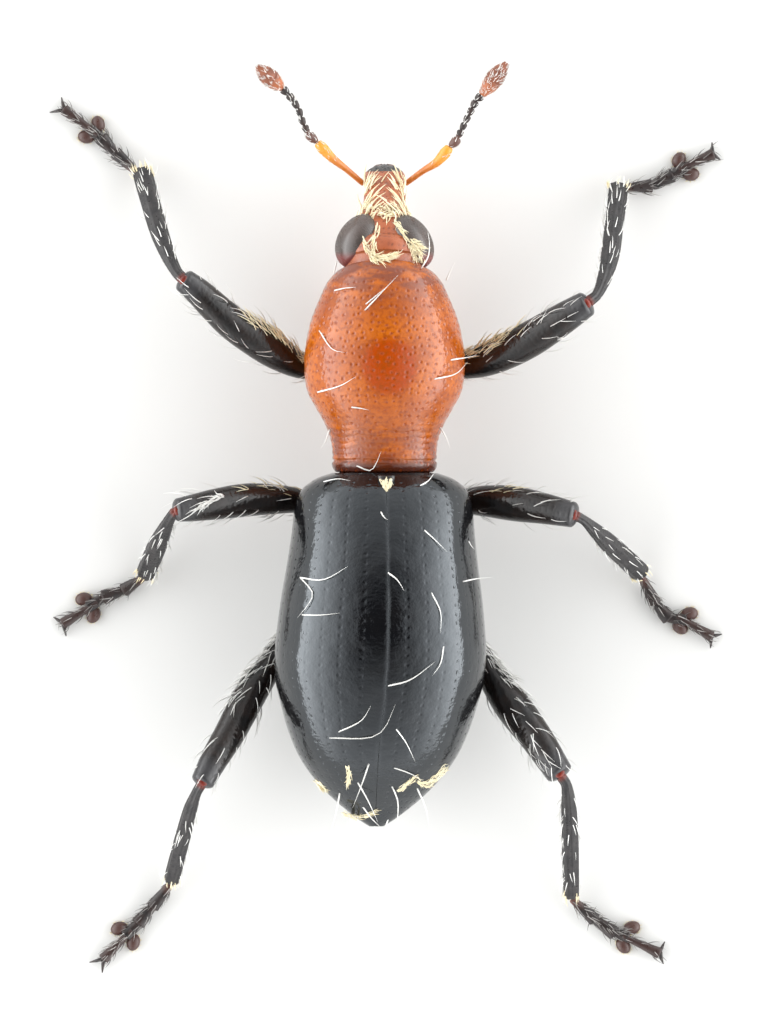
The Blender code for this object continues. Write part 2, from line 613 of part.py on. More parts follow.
def make_leg(name, leg):
    centre, radii = leg["coxa"]
    coxa = ellipsoid(f"{name}_coxa", centre, radii, rings=7, sides=12)
    femur = limb(f"{name}_femur", leg["femur"], FEMUR_FLATNESS, rounded=ROUNDED["femur"])
    tibia = limb(f"{name}_tibia", leg["tibia"], TIBIA_FLATNESS, rounded=ROUNDED["tibia"])
    tarsus = make_tarsus(f"{name}_tarsus", leg)
    carve(femur, coxa)
    carve(femur, tibia)
    carve(tibia, tarsus)
    return coxa, femur, tibia, tarsus


def give_material(part, colour):
    material = bpy.data.materials.get(colour)
    if material is None:
        (red, green, blue), roughness = COLOURS[colour]
        material = bpy.data.materials.new(colour)
        material.use_nodes = True
        shader = material.node_tree.nodes["Principled BSDF"]
        shader.inputs["Base Color"].default_value = (red, green, blue, 1)
        shader.inputs["Roughness"].default_value = roughness
        shader.inputs["Metallic"].default_value = 0
    part.data.materials.clear()
    part.data.materials.append(material)


def finish(part, colour):
    """Metres, smooth shading and the part's material."""
    bm = bmesh.new()
    bm.from_mesh(part.data)
    bmesh.ops.triangulate(bm, faces=bm.faces)
    bmesh.ops.recalc_face_normals(bm, faces=bm.faces)
    bm.to_mesh(part.data)
    bm.free()
    part.data.transform(Matrix.Scale(MILLIMETRE, 4))
    part.data.shade_smooth()
    part.data.set_sharp_from_angle(angle=SMOOTH_ANGLE)
    give_material(part, colour)


def main():
    for old in list(bpy.data.objects):
        bpy.data.objects.remove(old)
    parts = {}
    prothorax = make_prothorax()
    head = tilted_limb("head", HEAD, sides=20)
    rostrum = tilted_limb("rostrum", ROSTRUM, sides=14)
    mandibles = make_mandibles()
    pterothorax = make_thorax_underside()
    abdomen = make_abdomen()
    scutellum = make_scutellum()
    elytra = [make_elytron("elytron_left", 1), make_elytron("elytron_right", -1)]
    eyes = [make_eye("eye_left", 1), make_eye("eye_right", -1)]
    for eye in eyes:
        carve(head, eye)
    for part in (*elytra, pterothorax):
        carve(part, scutellum)
    carve(rostrum, mandibles)
    for side, places in ANTENNAE.items():
        scape, funicle, club = make_antenna(side, places)
        carve(rostrum, scape)
        parts[scape] = "antenna_cuticle"
        parts[funicle] = parts[club] = "dark_antenna"
    for name, leg in LEGS.items():
        coxa, femur, tibia, tarsus = make_leg(name, leg)
        for part in (prothorax,) if "fore" in name else (pterothorax, abdomen):
            carve(part, coxa)
        parts[coxa] = parts[femur] = parts[tibia] = "leg_cuticle"
        parts[tarsus] = "tarsus_cuticle"
    parts[prothorax] = "orange_cuticle"
    parts[head] = parts[rostrum] = "red_brown_cuticle"
    parts[mandibles] = parts[pterothorax] = parts[abdomen] = "black_cuticle"
    parts[scutellum] = "pale_hair"
    for elytron, eye in zip(elytra, eyes):
        parts[elytron], parts[eye] = "black_cuticle", "eye_surface"
    for part, colour in parts.items():
        finish(part, colour)


main()
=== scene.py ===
from math import atan2, cos, pi, radians, sin

import bmesh
import bpy
import numpy as np
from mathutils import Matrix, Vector
from mathutils.bvhtree import BVHTree
from mathutils.kdtree import KDTree


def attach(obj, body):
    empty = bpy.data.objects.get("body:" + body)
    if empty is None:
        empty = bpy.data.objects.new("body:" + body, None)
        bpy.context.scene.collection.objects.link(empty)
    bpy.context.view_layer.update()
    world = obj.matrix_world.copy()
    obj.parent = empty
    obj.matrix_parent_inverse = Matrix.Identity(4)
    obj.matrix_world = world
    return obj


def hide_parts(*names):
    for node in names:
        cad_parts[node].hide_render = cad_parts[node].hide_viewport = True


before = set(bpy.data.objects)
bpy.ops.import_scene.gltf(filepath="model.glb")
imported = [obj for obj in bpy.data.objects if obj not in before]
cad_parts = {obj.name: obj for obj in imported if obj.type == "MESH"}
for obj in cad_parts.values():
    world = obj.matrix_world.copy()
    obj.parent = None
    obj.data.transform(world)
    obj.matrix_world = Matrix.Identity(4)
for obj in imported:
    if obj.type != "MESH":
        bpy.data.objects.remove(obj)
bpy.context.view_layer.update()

mm = 0.001  # sizes below are in millimetres, and meshes are in metres
body = "root"
scene = bpy.context.scene
print("frame loaded:", len(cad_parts), "nodes")


# The photo's frame: the size of a pixel, and the pixel that lies over the animal's origin.
photo = {"pixel": 5.0 / 659, "origin": (384.5, 520.5), "middle": (382, 512), "rows": 1024}


def atPixel(x, y):
    originX, originY = photo["origin"]
    return -(x - originX) * photo["pixel"], (y - originY) * photo["pixel"]


# Curves and rows

def smoothRows(rows, steps):
    rows = np.array(rows, float)
    padded = np.vstack([2 * rows[0] - rows[1], rows, 2 * rows[-1] - rows[-2]])
    t = (np.arange(steps) / steps)[:, None]
    found = [0.5 * (2 * b + (c - a) * t + (2 * a - 5 * b + 4 * c - d) * t**2 + (3 * b - a - 3 * c + d) * t**3)
             for a, b, c, d in zip(padded[:-3], padded[1:-2], padded[2:-1], padded[3:])]
    return np.vstack(found + [rows[-1:]])


def readTable(places, along, table):
    # each column of a table, read at places between its rows
    return np.array([np.interp(places, along, column) for column in table.T]).T


def lengthAlong(points):
    # how far along a line of points each one lies
    return np.concatenate([[0], np.cumsum(np.linalg.norm(np.diff(points, axis=0), axis=1))])


def rowsAt(rows, places):
    fine = smoothRows(rows, 24)
    return readTable(places, fine[:, 0], fine)


def evenRows(rows, count):
    # rows spread evenly along a smooth curve whose first three columns are its place
    fine = smoothRows(rows, 24)
    along = lengthAlong(fine[:, :3])
    return readTable(np.linspace(0, along[-1], count), along, fine)


def unit(vectors):
    return vectors / np.maximum(np.linalg.norm(vectors, axis=-1, keepdims=True), 1e-12)


def softStep(low, high, values):
    t = np.clip((values - low) / (high - low), 0, 1)
    return t * t * (3 - 2 * t)


def bump(values, width):
    return np.exp(-(values / width) ** 2)


# Grids: rings of points along a form. A skin is a closed mesh over one or more grids.

def gridQuads(stations, around):
    # the row, the column and the corners of each face between the rings
    i, j = (a.reshape(-1) for a in np.mgrid[0:stations - 1, 0:around])
    k = (j + 1) % around
    quads = np.stack([i * around + j, i * around + k, (i + 1) * around + k, (i + 1) * around + j], axis=1)
    return i, j, quads


def shareAlong(grid):
    # how far along its form each point is, from 0 to 1
    return np.linspace(0, 1, len(grid))[:, None] + 0 * grid[:, :, 0]


def ringsAlong(centres, widths, around, flatness=1.0, upward=(0, 0, 1)):
    way = unit(np.gradient(centres, axis=0))
    side = unit(np.cross(way, upward))
    up = np.cross(side, way)
    a = np.linspace(0, 2 * pi, around, endpoint=False)[None, :, None]
    across = np.cos(a) * side[:, None] + flatness * np.sin(a) * up[:, None]
    return centres[:, None] + widths[:, None, None] * across


def gridNormals(grid):
    around = np.roll(grid, -1, axis=1) - np.roll(grid, 1, axis=1)
    normals = unit(np.cross(np.gradient(grid, axis=0), around))
    outward = grid - grid.mean(axis=1, keepdims=True)
    return normals if (normals * outward).sum() > 0 else -normals


def roundEnds(grid, first, last, steps=7):
    # closes a grid with rounded ends that bulge by first and last
    parts = [grid]
    for at, bulge in ((0, first), (-1, last)):
        if not bulge:
            continue
        ring, centre = grid[at], grid[at].mean(axis=0)
        way = unit(centre - grid[1 if at == 0 else -2].mean(axis=0))
        turns = np.linspace(0, radians(86), steps + 1)[1:]
        rings = [centre + (ring - centre) * cos(a) + way * bulge * sin(a) for a in turns]
        if at == 0:
            parts.insert(0, np.array(rings[::-1]))
        else:
            parts.append(np.array(rings))
    return np.concatenate(parts)


def tubeGrid(rows, around, stations, flatness=1.0, first=0.0, last=0.0):
    # a tube through rows of x, y, z and half width, with its wide side level
    rows = evenRows(rows, stations)
    return roundEnds(ringsAlong(rows[:, :3], rows[:, 3], around, flatness), first, last)


def gridMesh(name, grids, **values):
    # one mesh over closed grids, each on its own strip of the flat map; values are given per point
    points, faces, maps, start = [], [], [], 0
    for number, grid in enumerate(grids):
        stations, around = grid.shape[:2]
        i, j, quads = gridQuads(stations, around)
        flat = grid.reshape(-1, 3)
        a, b, c, d = (flat[q] for q in quads.T)
        volume = (np.cross(b - a, c - a) * (a - flat.mean(axis=0))).sum()
        v = np.stack([i, i, i + 1, i + 1], axis=1) / (stations - 1)
        u = (number + np.stack([j, j + 1, j + 1, j], axis=1) / around) / len(grids)
        caps = [list(range(around))[::-1], list(range((stations - 1) * around, stations * around))]
        capMaps = [[((number + p / around) / len(grids), end) for p in range(around)] for end in (0, 1)]
        capMaps[0].reverse()
        order = slice(None) if volume > 0 else slice(None, None, -1)
        faces += (quads[:, order] + start).tolist() + [[p + start for p in cap[order]] for cap in caps]
        maps += np.stack([u, v], axis=2)[:, order].reshape(-1, 2).tolist()
        maps += [corner for cap in capMaps for corner in cap[order]]
        points.append(flat)
        start += len(flat)
    mesh = bpy.data.meshes.new(name)
    mesh.from_pydata(np.vstack(points) * mm, [], faces)
    mesh.uv_layers.new(name="UVMap").data.foreach_set("uv", np.array(maps).reshape(-1))
    for label, value in values.items():
        value = np.concatenate([np.asarray(one, float).reshape(len(grid.reshape(-1, 3)), -1)
                                for one, grid in zip(value, grids)])
        kind = "FLOAT_VECTOR" if value.shape[1] == 3 else "FLOAT"
        field = "vector" if value.shape[1] == 3 else "value"
        mesh.attributes.new(label, kind, "POINT").data.foreach_set(field, value.reshape(-1))
    mesh.shade_smooth()
    return mesh


def place(name, mesh, material, slot, replaced=()):
    piece = bpy.data.objects.new(name, mesh)
    scene.collection.objects.link(piece)
    mesh.materials.clear()
    mesh.materials.append(material)
    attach(piece, body)
    if replaced:
        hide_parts(*replaced)


def nearest(points, centres):
    # distance from each point to the nearest centre
    tree = KDTree(len(centres))
    for number, centre in enumerate(centres):
        tree.insert(centre, number)
    tree.balance()
    flat = points.reshape(-1, 3)
    return np.array([tree.find(point)[2] for point in flat]).reshape(points.shape[:-1])


def scatter(grid, spacing, jitter, seed, columns):
    # points spread over part of a grid in staggered rows
    rng = np.random.default_rng(seed)
    middle = grid[:, columns].mean(axis=1)
    along = lengthAlong(middle)
    found = []
    for row, place in enumerate(np.arange(0.5 * spacing, along[-1], 0.87 * spacing)):
        ring = grid[np.searchsorted(along, place) - 1, columns]
        around = lengthAlong(ring)
        spots = np.arange((0.25 + 0.5 * (row % 2)) * spacing, around[-1], spacing)
        spots = spots + rng.uniform(-jitter, jitter, len(spots))
        spots = readTable(spots, around, ring)
        spots[:, 1] += rng.uniform(-jitter, jitter, len(spots))
        found.append(spots)
    return np.concatenate(found)


# Materials

def makeMaterial(name, color, roughness, **sockets):
    material = bpy.data.materials.new(name)
    material.use_nodes = True
    shader = material.node_tree.nodes["Principled BSDF"]
    shader.inputs["Base Color"].default_value = (*color, 1)
    shader.inputs["Roughness"].default_value = roughness
    for socket, value in sockets.items():
        shader.inputs[socket.replace("_", " ")].default_value = value
    return material


def addTo(tree, kind, inputs=(), **settings):
    # inputs are values or the outputs of other nodes
    node = tree.nodes.new(kind)
    for name, value in settings.items():
        setattr(node, name, value)
    for socket, value in dict(inputs).items():
        if isinstance(value, bpy.types.NodeSocket):
            tree.links.new(value, node.inputs[socket])
        else:
            node.inputs[socket].default_value = value
    return node


def addNode(material, kind, inputs=(), **settings):
    return addTo(material.node_tree, kind, inputs, **settings)


def calculate(material, operation, *values):
    return addNode(material, "ShaderNodeMath", dict(enumerate(values)), operation=operation).outputs[0]


def addNoise(material, scale, detail=3.0, stretch=(1, 1, 1)):
    # scale is in waves per millimetre
    coordinates = addNode(material, "ShaderNodeTexCoord").outputs["Object"]
    mapping = addNode(material, "ShaderNodeMapping", {"Vector": coordinates, "Scale": stretch})
    inputs = {"Vector": mapping.outputs[0], "Scale": scale / mm, "Detail": detail}
    return addNode(material, "ShaderNodeTexNoise", inputs).outputs[0]


def readValue(material, name):
    return addNode(material, "ShaderNodeAttribute", attribute_name=name).outputs["Fac"]


def mapRange(material, value, low, high, toLow=0.0, toHigh=1.0):
    inputs = {0: value, 1: low, 2: high, 3: toLow, 4: toHigh}
    return addNode(material, "ShaderNodeMapRange", inputs).outputs[0]


def mixColors(material, factor, first, second):
    colors = [color if isinstance(color, bpy.types.NodeSocket) else (*color, 1) for color in (first, second)]
    inputs = {0: factor, 6: colors[0], 7: colors[1]}
    return addNode(material, "ShaderNodeMix", inputs, data_type="RGBA").outputs[2]


def setInput(material, socket, output):
    material.node_tree.links.new(output, material.node_tree.nodes["Principled BSDF"].inputs[socket])


def addBump(material, height, depth, under=None):
    inputs = {"Height": height, "Distance": depth * mm, **({"Normal": under} if under else {})}
    output = addNode(material, "ShaderNodeBump", inputs).outputs[0]
    setInput(material, "Normal", output)
    return output


def makeShell(name, base, second, pitColor, roughness, cloud, grain, grainDepth, tipColor=None, **sockets):
    # a glossy insect shell: two colours in clouds, darker pits, a fine grain, and a tip of another colour
    material = makeMaterial(name, base, roughness, **sockets)
    clouds = mapRange(material, addNoise(material, cloud), 0.35, 0.68)
    color = mixColors(material, clouds, base, second)
    color = mixColors(material, readValue(material, "pit"), color, pitColor)
    if tipColor:
        color = mixColors(material, readValue(material, "tip"), color, tipColor)
    setInput(material, "Base Color", color)
    gloss = mapRange(material, addNoise(material, 2.3 * cloud), 0.3, 0.7, 0.75 * roughness, 1.3 * roughness)
    setInput(material, "Roughness", gloss)
    addBump(material, addNoise(material, grain, 2.0), grainDepth)
    return material


def makePronotumShell():
    # amber shell: fine grains, soft clouds, purple-brown toward both ends, red-brown pits, and painted shade
    # in a deeper orange disc on top where the shell reflects no light
    material = makeMaterial("pronotumShell", (0.330, 0.082, 0.004), 0.12, IOR=1.52)
    clouds = mapRange(material, addNoise(material, 4.0), 0.38, 0.66)
    color = mixColors(material, clouds, (0.410, 0.094, 0.003), (0.300, 0.058, 0.002))
    # painted shade: the disc on top is mixed to a deeper orange, standing in for the missing reflection there
    color = mixColors(material, readValue(material, "paintedShadeDisc"), color, (0.310, 0.042, 0.001))
    grains = mapRange(material, addNoise(material, 30.0, 4.0), 0.46, 0.72)
    color = mixColors(material, grains, color, (0.230, 0.042, 0.002))
    streaks = mapRange(material, addNoise(material, 9.0, 3.0, (0.5, 1.6, 1.0)), 0.38, 0.56)
    ends = calculate(material, "MULTIPLY", streaks, readValue(material, "ends"))
    color = mixColors(material, ends, color, (0.150, 0.036, 0.018))
    color = mixColors(material, readValue(material, "collar"), color, (0.050, 0.010, 0.005))
    color = mixColors(material, readValue(material, "pit"), color, (0.225, 0.036, 0.003))
    setInput(material, "Base Color", color)
    setInput(material, "Roughness", mapRange(material, addNoise(material, 12.0), 0.3, 0.7, 0.08, 0.16))
    addBump(material, addNoise(material, 55.0, 3.0), 0.0016)
    return material


pronotumShell = makePronotumShell()
headShell = makeShell("headShell", (0.360, 0.098, 0.036), (0.260, 0.062, 0.022), (0.110, 0.026, 0.010),
                      0.28, 7.0, 60, 0.0014, (0.014, 0.012, 0.013), IOR=1.50)
elytraShell = makeShell("elytraShell", (0.0030, 0.0032, 0.0040), (0.0050, 0.0048, 0.0052),
                        (0.002, 0.0015, 0.0015), 0.085, 5.0, 55, 0.0008,
                        IOR=1.66, Specular_Tint=(0.87, 0.94, 1.0, 1.0))
waves = addBump(elytraShell, addNoise(elytraShell, 8.0, 5.0), 0.0070)
addBump(elytraShell, addNoise(elytraShell, 60.0, 2.0), 0.0008, waves)
underShell = makeShell("underShell", (0.006, 0.005, 0.005), (0.014, 0.008, 0.006), (0.003, 0.002, 0.002),
                       0.24, 6.0, 40, 0.0022, IOR=1.58)
legShell = makeShell("legShell", (0.0050, 0.0042, 0.0040), (0.013, 0.007, 0.005), (0.003, 0.002, 0.002),
                     0.20, 9.0, 50, 0.0022, (0.032, 0.031, 0.033), IOR=1.50)
tibiaShell = makeShell("tibiaShell", (0.013, 0.012, 0.013), (0.030, 0.027, 0.027), (0.006, 0.005, 0.005),
                       0.34, 14.0, 45, 0.0034, (0.120, 0.016, 0.008), IOR=1.45)
membrane = makeShell("membrane", (0.200, 0.022, 0.010), (0.060, 0.006, 0.004), (0.030, 0.004, 0.003),
                     0.22, 16.0, 50, 0.0016, IOR=1.50)
footShell = makeShell("footShell", (0.012, 0.009, 0.009), (0.026, 0.015, 0.013), (0.004, 0.003, 0.003),
                      0.34, 14.0, 60, 0.0016, (0.140, 0.050, 0.036), IOR=1.5)
scapeShell = makeShell("scapeShell", (0.600, 0.200, 0.035), (0.480, 0.140, 0.025), (0.100, 0.026, 0.008),
                       0.28, 9.0, 60, 0.0012, (0.700, 0.290, 0.030), IOR=1.50)
funicleShell = makeShell("funicleShell", (0.014, 0.011, 0.011), (0.034, 0.018, 0.014), (0.006, 0.004, 0.003),
                         0.36, 16.0, 70, 0.0014, (0.110, 0.050, 0.038), IOR=1.50)
clubShell = makeShell("clubShell", (0.260, 0.085, 0.042), (0.150, 0.048, 0.026), (0.015, 0.006, 0.004),
                      0.42, 14.0, 70, 0.0014, (0.380, 0.120, 0.048), IOR=1.45)
eyeShell = makeShell("eyeShell", (0.115, 0.094, 0.084), (0.150, 0.108, 0.092), (0.022, 0.017, 0.016),
                     0.26, 6.0, 50, 0.0004, (0.170, 0.050, 0.046), IOR=1.55)


def makeHairMaterial(name, color, second, roughness):
    material = makeMaterial(name, color, roughness, IOR=1.5)
    setInput(material, "Base Color", mixColors(material, readValue(material, "shade"), color, second))
    return material


creamHair = makeHairMaterial("creamHair", (0.870, 0.810, 0.600), (0.750, 0.640, 0.400), 0.42)
whiteHair = makeHairMaterial("whiteHair", (0.880, 0.875, 0.850), (0.600, 0.590, 0.560), 0.36)
greyHair = makeHairMaterial("greyHair", (0.420, 0.400, 0.380), (0.045, 0.038, 0.036), 0.42)
floorPaint = makeMaterial("floorPaint", (0.70, 0.695, 0.68), 0.9)
print("materials ready")


# The trunk: sections across the body, as y, half width, top, height of the widest line, bottom.

def sectionPoints(rows, angles, inset=0.0, squareness=1.0):
    # squareness over 1 makes the upper half flatter on top and rounder at its sides
    y, halfWidth, top, wide, bottom = (column[:, None] for column in rows.T)
    angles = np.broadcast_to(angles, (len(rows), angles.shape[-1]))
    inset = np.minimum(inset, 0.45 * halfWidth)
    across, up = np.cos(angles), np.sin(angles)
    upper = up > 0
    across = np.where(upper, np.sign(across) * np.abs(across) ** (1 / squareness), across)
    up = np.where(upper, np.abs(up) ** (1 / squareness), up)
    reach = np.where(upper, top - wide, wide - bottom)
    return np.stack([(halfWidth - inset) * across, y + 0 * angles, wide + (reach - inset) * up], axis=2)


prothorax = {
    "rows": [(-1.955, 0.375, 1.235, 0.93, 0.600), (-1.863, 0.444, 1.315, 0.92, 0.500),
             (-1.665, 0.512, 1.395, 0.90, 0.415), (-1.430, 0.577, 1.440, 0.88, 0.360),
             (-1.203, 0.607, 1.450, 0.87, 0.335), (-0.995, 0.588, 1.420, 0.86, 0.340),
             (-0.854, 0.520, 1.365, 0.85, 0.370), (-0.732, 0.451, 1.285, 0.84, 0.420),
             (-0.618, 0.406, 1.215, 0.83, 0.455), (-0.505, 0.391, 1.175, 0.82, 0.470),
             (-0.414, 0.395, 1.165, 0.82, 0.465), (-0.374, 0.375, 1.140, 0.82, 0.480)],
    "stations": 230, "upper": 300, "lower": 70,
    "pitSpacing": 0.068, "pitJitter": 0.020, "pitRadius": 0.0150, "pitDepth": 0.0048, "frontBend": 0.085,
    # the painted shade disc on top: centre x, centre y and radius
    "paintedShadeDisc": (-0.040, -1.160, 0.220),
    "squareness": 1.12, "wrinkles": (-0.800, -0.620, -0.440, -0.400), "wrinklePitch": 0.045,
    "wrinkleDepth": 0.0035,
    "collarGroove": -0.452,
}


def makeProthorax(form):
    upper = np.linspace(radians(-25), radians(205), form["upper"], endpoint=False)
    lower = np.linspace(radians(205), radians(335), form["lower"], endpoint=False)
    angles = np.concatenate([upper, lower])
    ys = np.linspace(form["rows"][0][0], form["rows"][-1][0], form["stations"])
    rows = rowsAt(form["rows"], ys)
    grid = sectionPoints(rows, angles, 0.0, form["squareness"])
    front = [sectionPoints(rows[:1] + [[dy, 0, 0, 0, 0]], angles, inset, form["squareness"])
             for dy, inset in ((0.030, 0.080), (0.004, 0.050), (-0.008, 0.025), (-0.007, 0.008))]
    back = [sectionPoints(rows[-1:] + [[dy, 0, 0, 0, 0]], angles, inset, form["squareness"])
            for dy, inset in ((0.006, 0.008), (0.010, 0.030), (0.060, 0.050))]
    grid = np.concatenate(front + [grid] + back)
    normals = gridNormals(grid)
    # the front edge stands back at the sides
    front = 1 - softStep(form["rows"][0][0] + 0.05, form["rows"][0][0] + 0.50, grid[:, :, 1])
    grid[:, :, 1] += form["frontBend"] * front * np.abs(np.cos(angles)) ** 2.5
    pits = scatter(grid[4:-3], form["pitSpacing"], form["pitJitter"], 3, slice(12, form["upper"] - 12))
    distance = nearest(grid, pits)
    pit = 1 - softStep(0.25 * form["pitRadius"], form["pitRadius"], distance)
    rim = bump(distance - 1.35 * form["pitRadius"], 0.35 * form["pitRadius"])
    y = grid[:, :, 1]
    wobble = 0.010 * np.sin(9 * grid[:, :, 0]) + 0.006 * np.sin(31 * grid[:, :, 0] + 2)
    start, full, fade, end = form["wrinkles"]
    wrinkled = softStep(start, full, y) * (1 - softStep(fade, end, y))
    wrinkles = wrinkled * np.abs(np.sin((y + wobble) * pi / form["wrinklePitch"]))
    rise = form["wrinkleDepth"] * wrinkles - form["pitDepth"] * pit * (1 - 0.6 * wrinkled) + 0.0009 * rim
    rise -= 0.010 * bump(y - form["collarGroove"], 0.012)
    collar = softStep(-0.500, -0.400, y) * 0.9
    reach = np.abs(grid[:, :, 0])
    flanks = softStep(0.80, 0.98, reach / reach.max(axis=1, keepdims=True))
    rear = softStep(-0.90, -0.60, y) * (0.60 + 0.40 * flanks)
    ends = np.maximum(0.90 * (1 - softStep(-1.88, -1.50, y)), rear)
    # painted shade: a disc on top of the shell, darkened in colour where the shell reflects no light
    shadeDiscX, shadeDiscY, shadeDiscRadius = form["paintedShadeDisc"]
    paintedShadeDisc = 1 - softStep(0.75 * shadeDiscRadius, 1.15 * shadeDiscRadius, np.hypot(grid[:, :, 0] - shadeDiscX, y - shadeDiscY))
    return grid + normals * rise[:, :, None], {"pit": pit, "ends": ends, "collar": collar, "paintedShadeDisc": paintedShadeDisc}


prothoraxGrid, values = makeProthorax(prothorax)
mesh = gridMesh("prothoraxSkin", [prothoraxGrid], **{name: [value] for name, value in values.items()})
place("prothoraxSkin", mesh, pronotumShell, "orange_cuticle", ["prothorax"])
print("prothorax made")

hindBody = {
    "rows": [(-0.360, 0.400, 1.165, 0.80, 0.480), (-0.310, 0.530, 1.220, 0.80, 0.440),
             (-0.216, 0.636, 1.300, 0.80, 0.385), (-0.072, 0.675, 1.390, 0.80, 0.340),
             (0.110, 0.694, 1.475, 0.80, 0.315), (0.330, 0.722, 1.545, 0.81, 0.305),
             (0.560, 0.757, 1.585, 0.82, 0.300), (0.790, 0.784, 1.600, 0.82, 0.300),
             (1.000, 0.800, 1.585, 0.82, 0.305), (1.200, 0.790, 1.545, 0.81, 0.315),
             (1.400, 0.742, 1.470, 0.80, 0.330), (1.600, 0.680, 1.365, 0.78, 0.350),
             (1.780, 0.600, 1.235, 0.76, 0.375), (1.940, 0.490, 1.085, 0.73, 0.405),
             (2.080, 0.362, 0.935, 0.69, 0.440), (2.190, 0.235, 0.800, 0.65, 0.480),
             (2.270, 0.130, 0.715, 0.62, 0.515), (2.318, 0.055, 0.655, 0.60, 0.555)],
    "tailShift": 0.062, "squareness": 1.25, "split": (0.552, 0.568), "thoraxSeams": (-0.02, 0.20),
    "ventriteSeams": (0.98, 1.28, 1.50, 1.72), "ventriteDepth": 0.016,
}
elytron = {
    "seam": [(-0.360, -0.010), (0.300, -0.045), (0.900, -0.057), (1.360, -0.040), (1.750, -0.006),
             (2.318, 0.010)],
    "edge": radians(-20), "thickness": 0.070, "gap": 0.016, "line": 0.003,
    "stations": 380, "outside": 150, "inside": 12,
    "striae": 9, "firstStria": 0.075, "striaStep": 0.1006, "grooveWidth": 0.012, "grooveDepth": 0.0002,
    "pitStep": 0.072, "pitRadius": 0.0085, "pitDepth": 0.0060, "intervalRise": 0.0001,
}


def hindShift(y):
    start, end = hindBody["rows"][0][0], hindBody["rows"][-1][0]
    return hindBody["tailShift"] * (y - start) / (end - start)


def hindStations(count, start=-0.360, end=2.318):
    # stations spread along the back's own curve, so that they stay close at the steep tail
    fine = smoothRows(hindBody["rows"], 24)
    steps = np.hypot(np.diff(fine[:, 0]), np.hypot(np.diff(fine[:, 2]), np.diff(fine[:, 1])))
    along = np.concatenate([[0], np.cumsum(steps)])
    places = np.interp([start, end], fine[:, 0], along)
    ys = np.interp(np.linspace(*places, count), along, fine[:, 0])
    return rowsAt(hindBody["rows"], ys)


def makeElytron(form, side, seed):
    rng = np.random.default_rng(seed)
    rows = hindStations(form["stations"])
    halfWidth = rows[:, 1]
    across = (side * rowsAt(form["seam"], rows[:, 0])[:, 1] + form["line"] / 2) / halfWidth
    seamAngle = np.arccos(np.sign(across) * np.abs(across) ** hindBody["squareness"])
    t = np.concatenate([[0, 0.0008, 0.0025], np.linspace(0.007, 1, form["outside"] - 3)])
    outside = seamAngle[:, None] + (form["edge"] - seamAngle[:, None]) * t
    inside = form["edge"] + (seamAngle[:, None] - form["edge"]) * np.linspace(0, 1, form["inside"])
    outer = sectionPoints(rows, outside, 0.0, hindBody["squareness"])
    normals = np.cross(np.gradient(outer, axis=0), np.gradient(outer, axis=1))
    normals = unit(normals * np.sign((normals * (outer - (0, 0, 0.8))).sum()))
    width = np.linalg.norm(np.diff(outer, axis=1), axis=2).sum(axis=1)[:, None]
    middle = outer[:, form["outside"] // 3]
    along = lengthAlong(middle)[:, None]
    rise = np.zeros(outer.shape[:2])
    pit = np.zeros(outer.shape[:2])
    present = softStep(0.02, 0.20, along) * (1 - softStep(along[-1, 0] - 0.28, along[-1, 0] - 0.04, along))
    striae = form["firstStria"] + form["striaStep"] * np.arange(form["striae"])
    for stria in striae:
        across = (t[None, :] - stria) * width
        rise -= form["grooveDepth"] * present * bump(across, form["grooveWidth"])
        spots = np.arange(0.05, along[-1, 0], form["pitStep"]) + rng.uniform(0, form["pitStep"])
        spots = spots + rng.uniform(-0.008, 0.008, len(spots))
        nearestSpot = np.abs(along[:, 0][:, None] - spots[None, :]).min(axis=1)[:, None]
        here = 1 - softStep(0.3 * form["pitRadius"], form["pitRadius"], np.hypot(across, nearestSpot))
        pit = np.maximum(pit, here * present)
    rise -= form["pitDepth"] * pit
    phase = (t[None, :] - form["firstStria"]) / form["striaStep"]
    rise += form["intervalRise"] * present * 0.5 * (1 - np.cos(2 * pi * phase)) * softStep(0, 0.4, width)
    seamDistance, edgeDistance = t[None, :] * width, (1 - t[None, :]) * width
    rise -= 0.003 * bump(seamDistance, 0.006) + 0.020 * bump(edgeDistance, 0.014)
    wrinkle = np.sin(along * 2 * pi / 0.034 + 3.0 * np.sin(t[None, :] * 41) + 2.0 * np.sin(t[None, :] * 17))
    rise += 0.00018 * wrinkle * present
    outer = outer + normals * rise[:, :, None]
    inner = sectionPoints(rows, inside, form["thickness"], hindBody["squareness"])
    grid = np.concatenate([outer, inner], axis=1)
    grid[:, :, 0] = hindShift(grid[:, :, 1]) + side * grid[:, :, 0]
    pit = np.concatenate([pit, np.zeros(inner.shape[:2])], axis=1)
    return grid, pit


elytraGrids = {}
for side, name, seed in ((1, "left", 5), (-1, "right", 6)):
    elytraGrids[name], pit = makeElytron(elytron, side, seed)
    mesh = gridMesh(f"elytronSkin_{name}", [elytraGrids[name]], pit=[pit])
    place(f"elytronSkin_{name}", mesh, elytraShell, "black_cuticle", [f"elytron_{name}"])
print("elytra made")


def underGrid(rows, around=96):
    # the body under the elytra: inside them above, and bare below their edges
    shift = hindShift(rows[:, 0])
    edge, lip = elytron["edge"], 0.02
    upper = np.linspace(pi - edge, edge, around // 3)
    lower = np.linspace(edge - lip, -pi - edge + lip, around - around // 3)
    inset = elytron["thickness"] + elytron["gap"]
    inner = sectionPoints(rows, upper, inset, hindBody["squareness"])
    grid = np.concatenate([inner, sectionPoints(rows, lower, 0.0, hindBody["squareness"])], axis=1)
    grid[:, :, 0] += shift[:, None]
    return grid


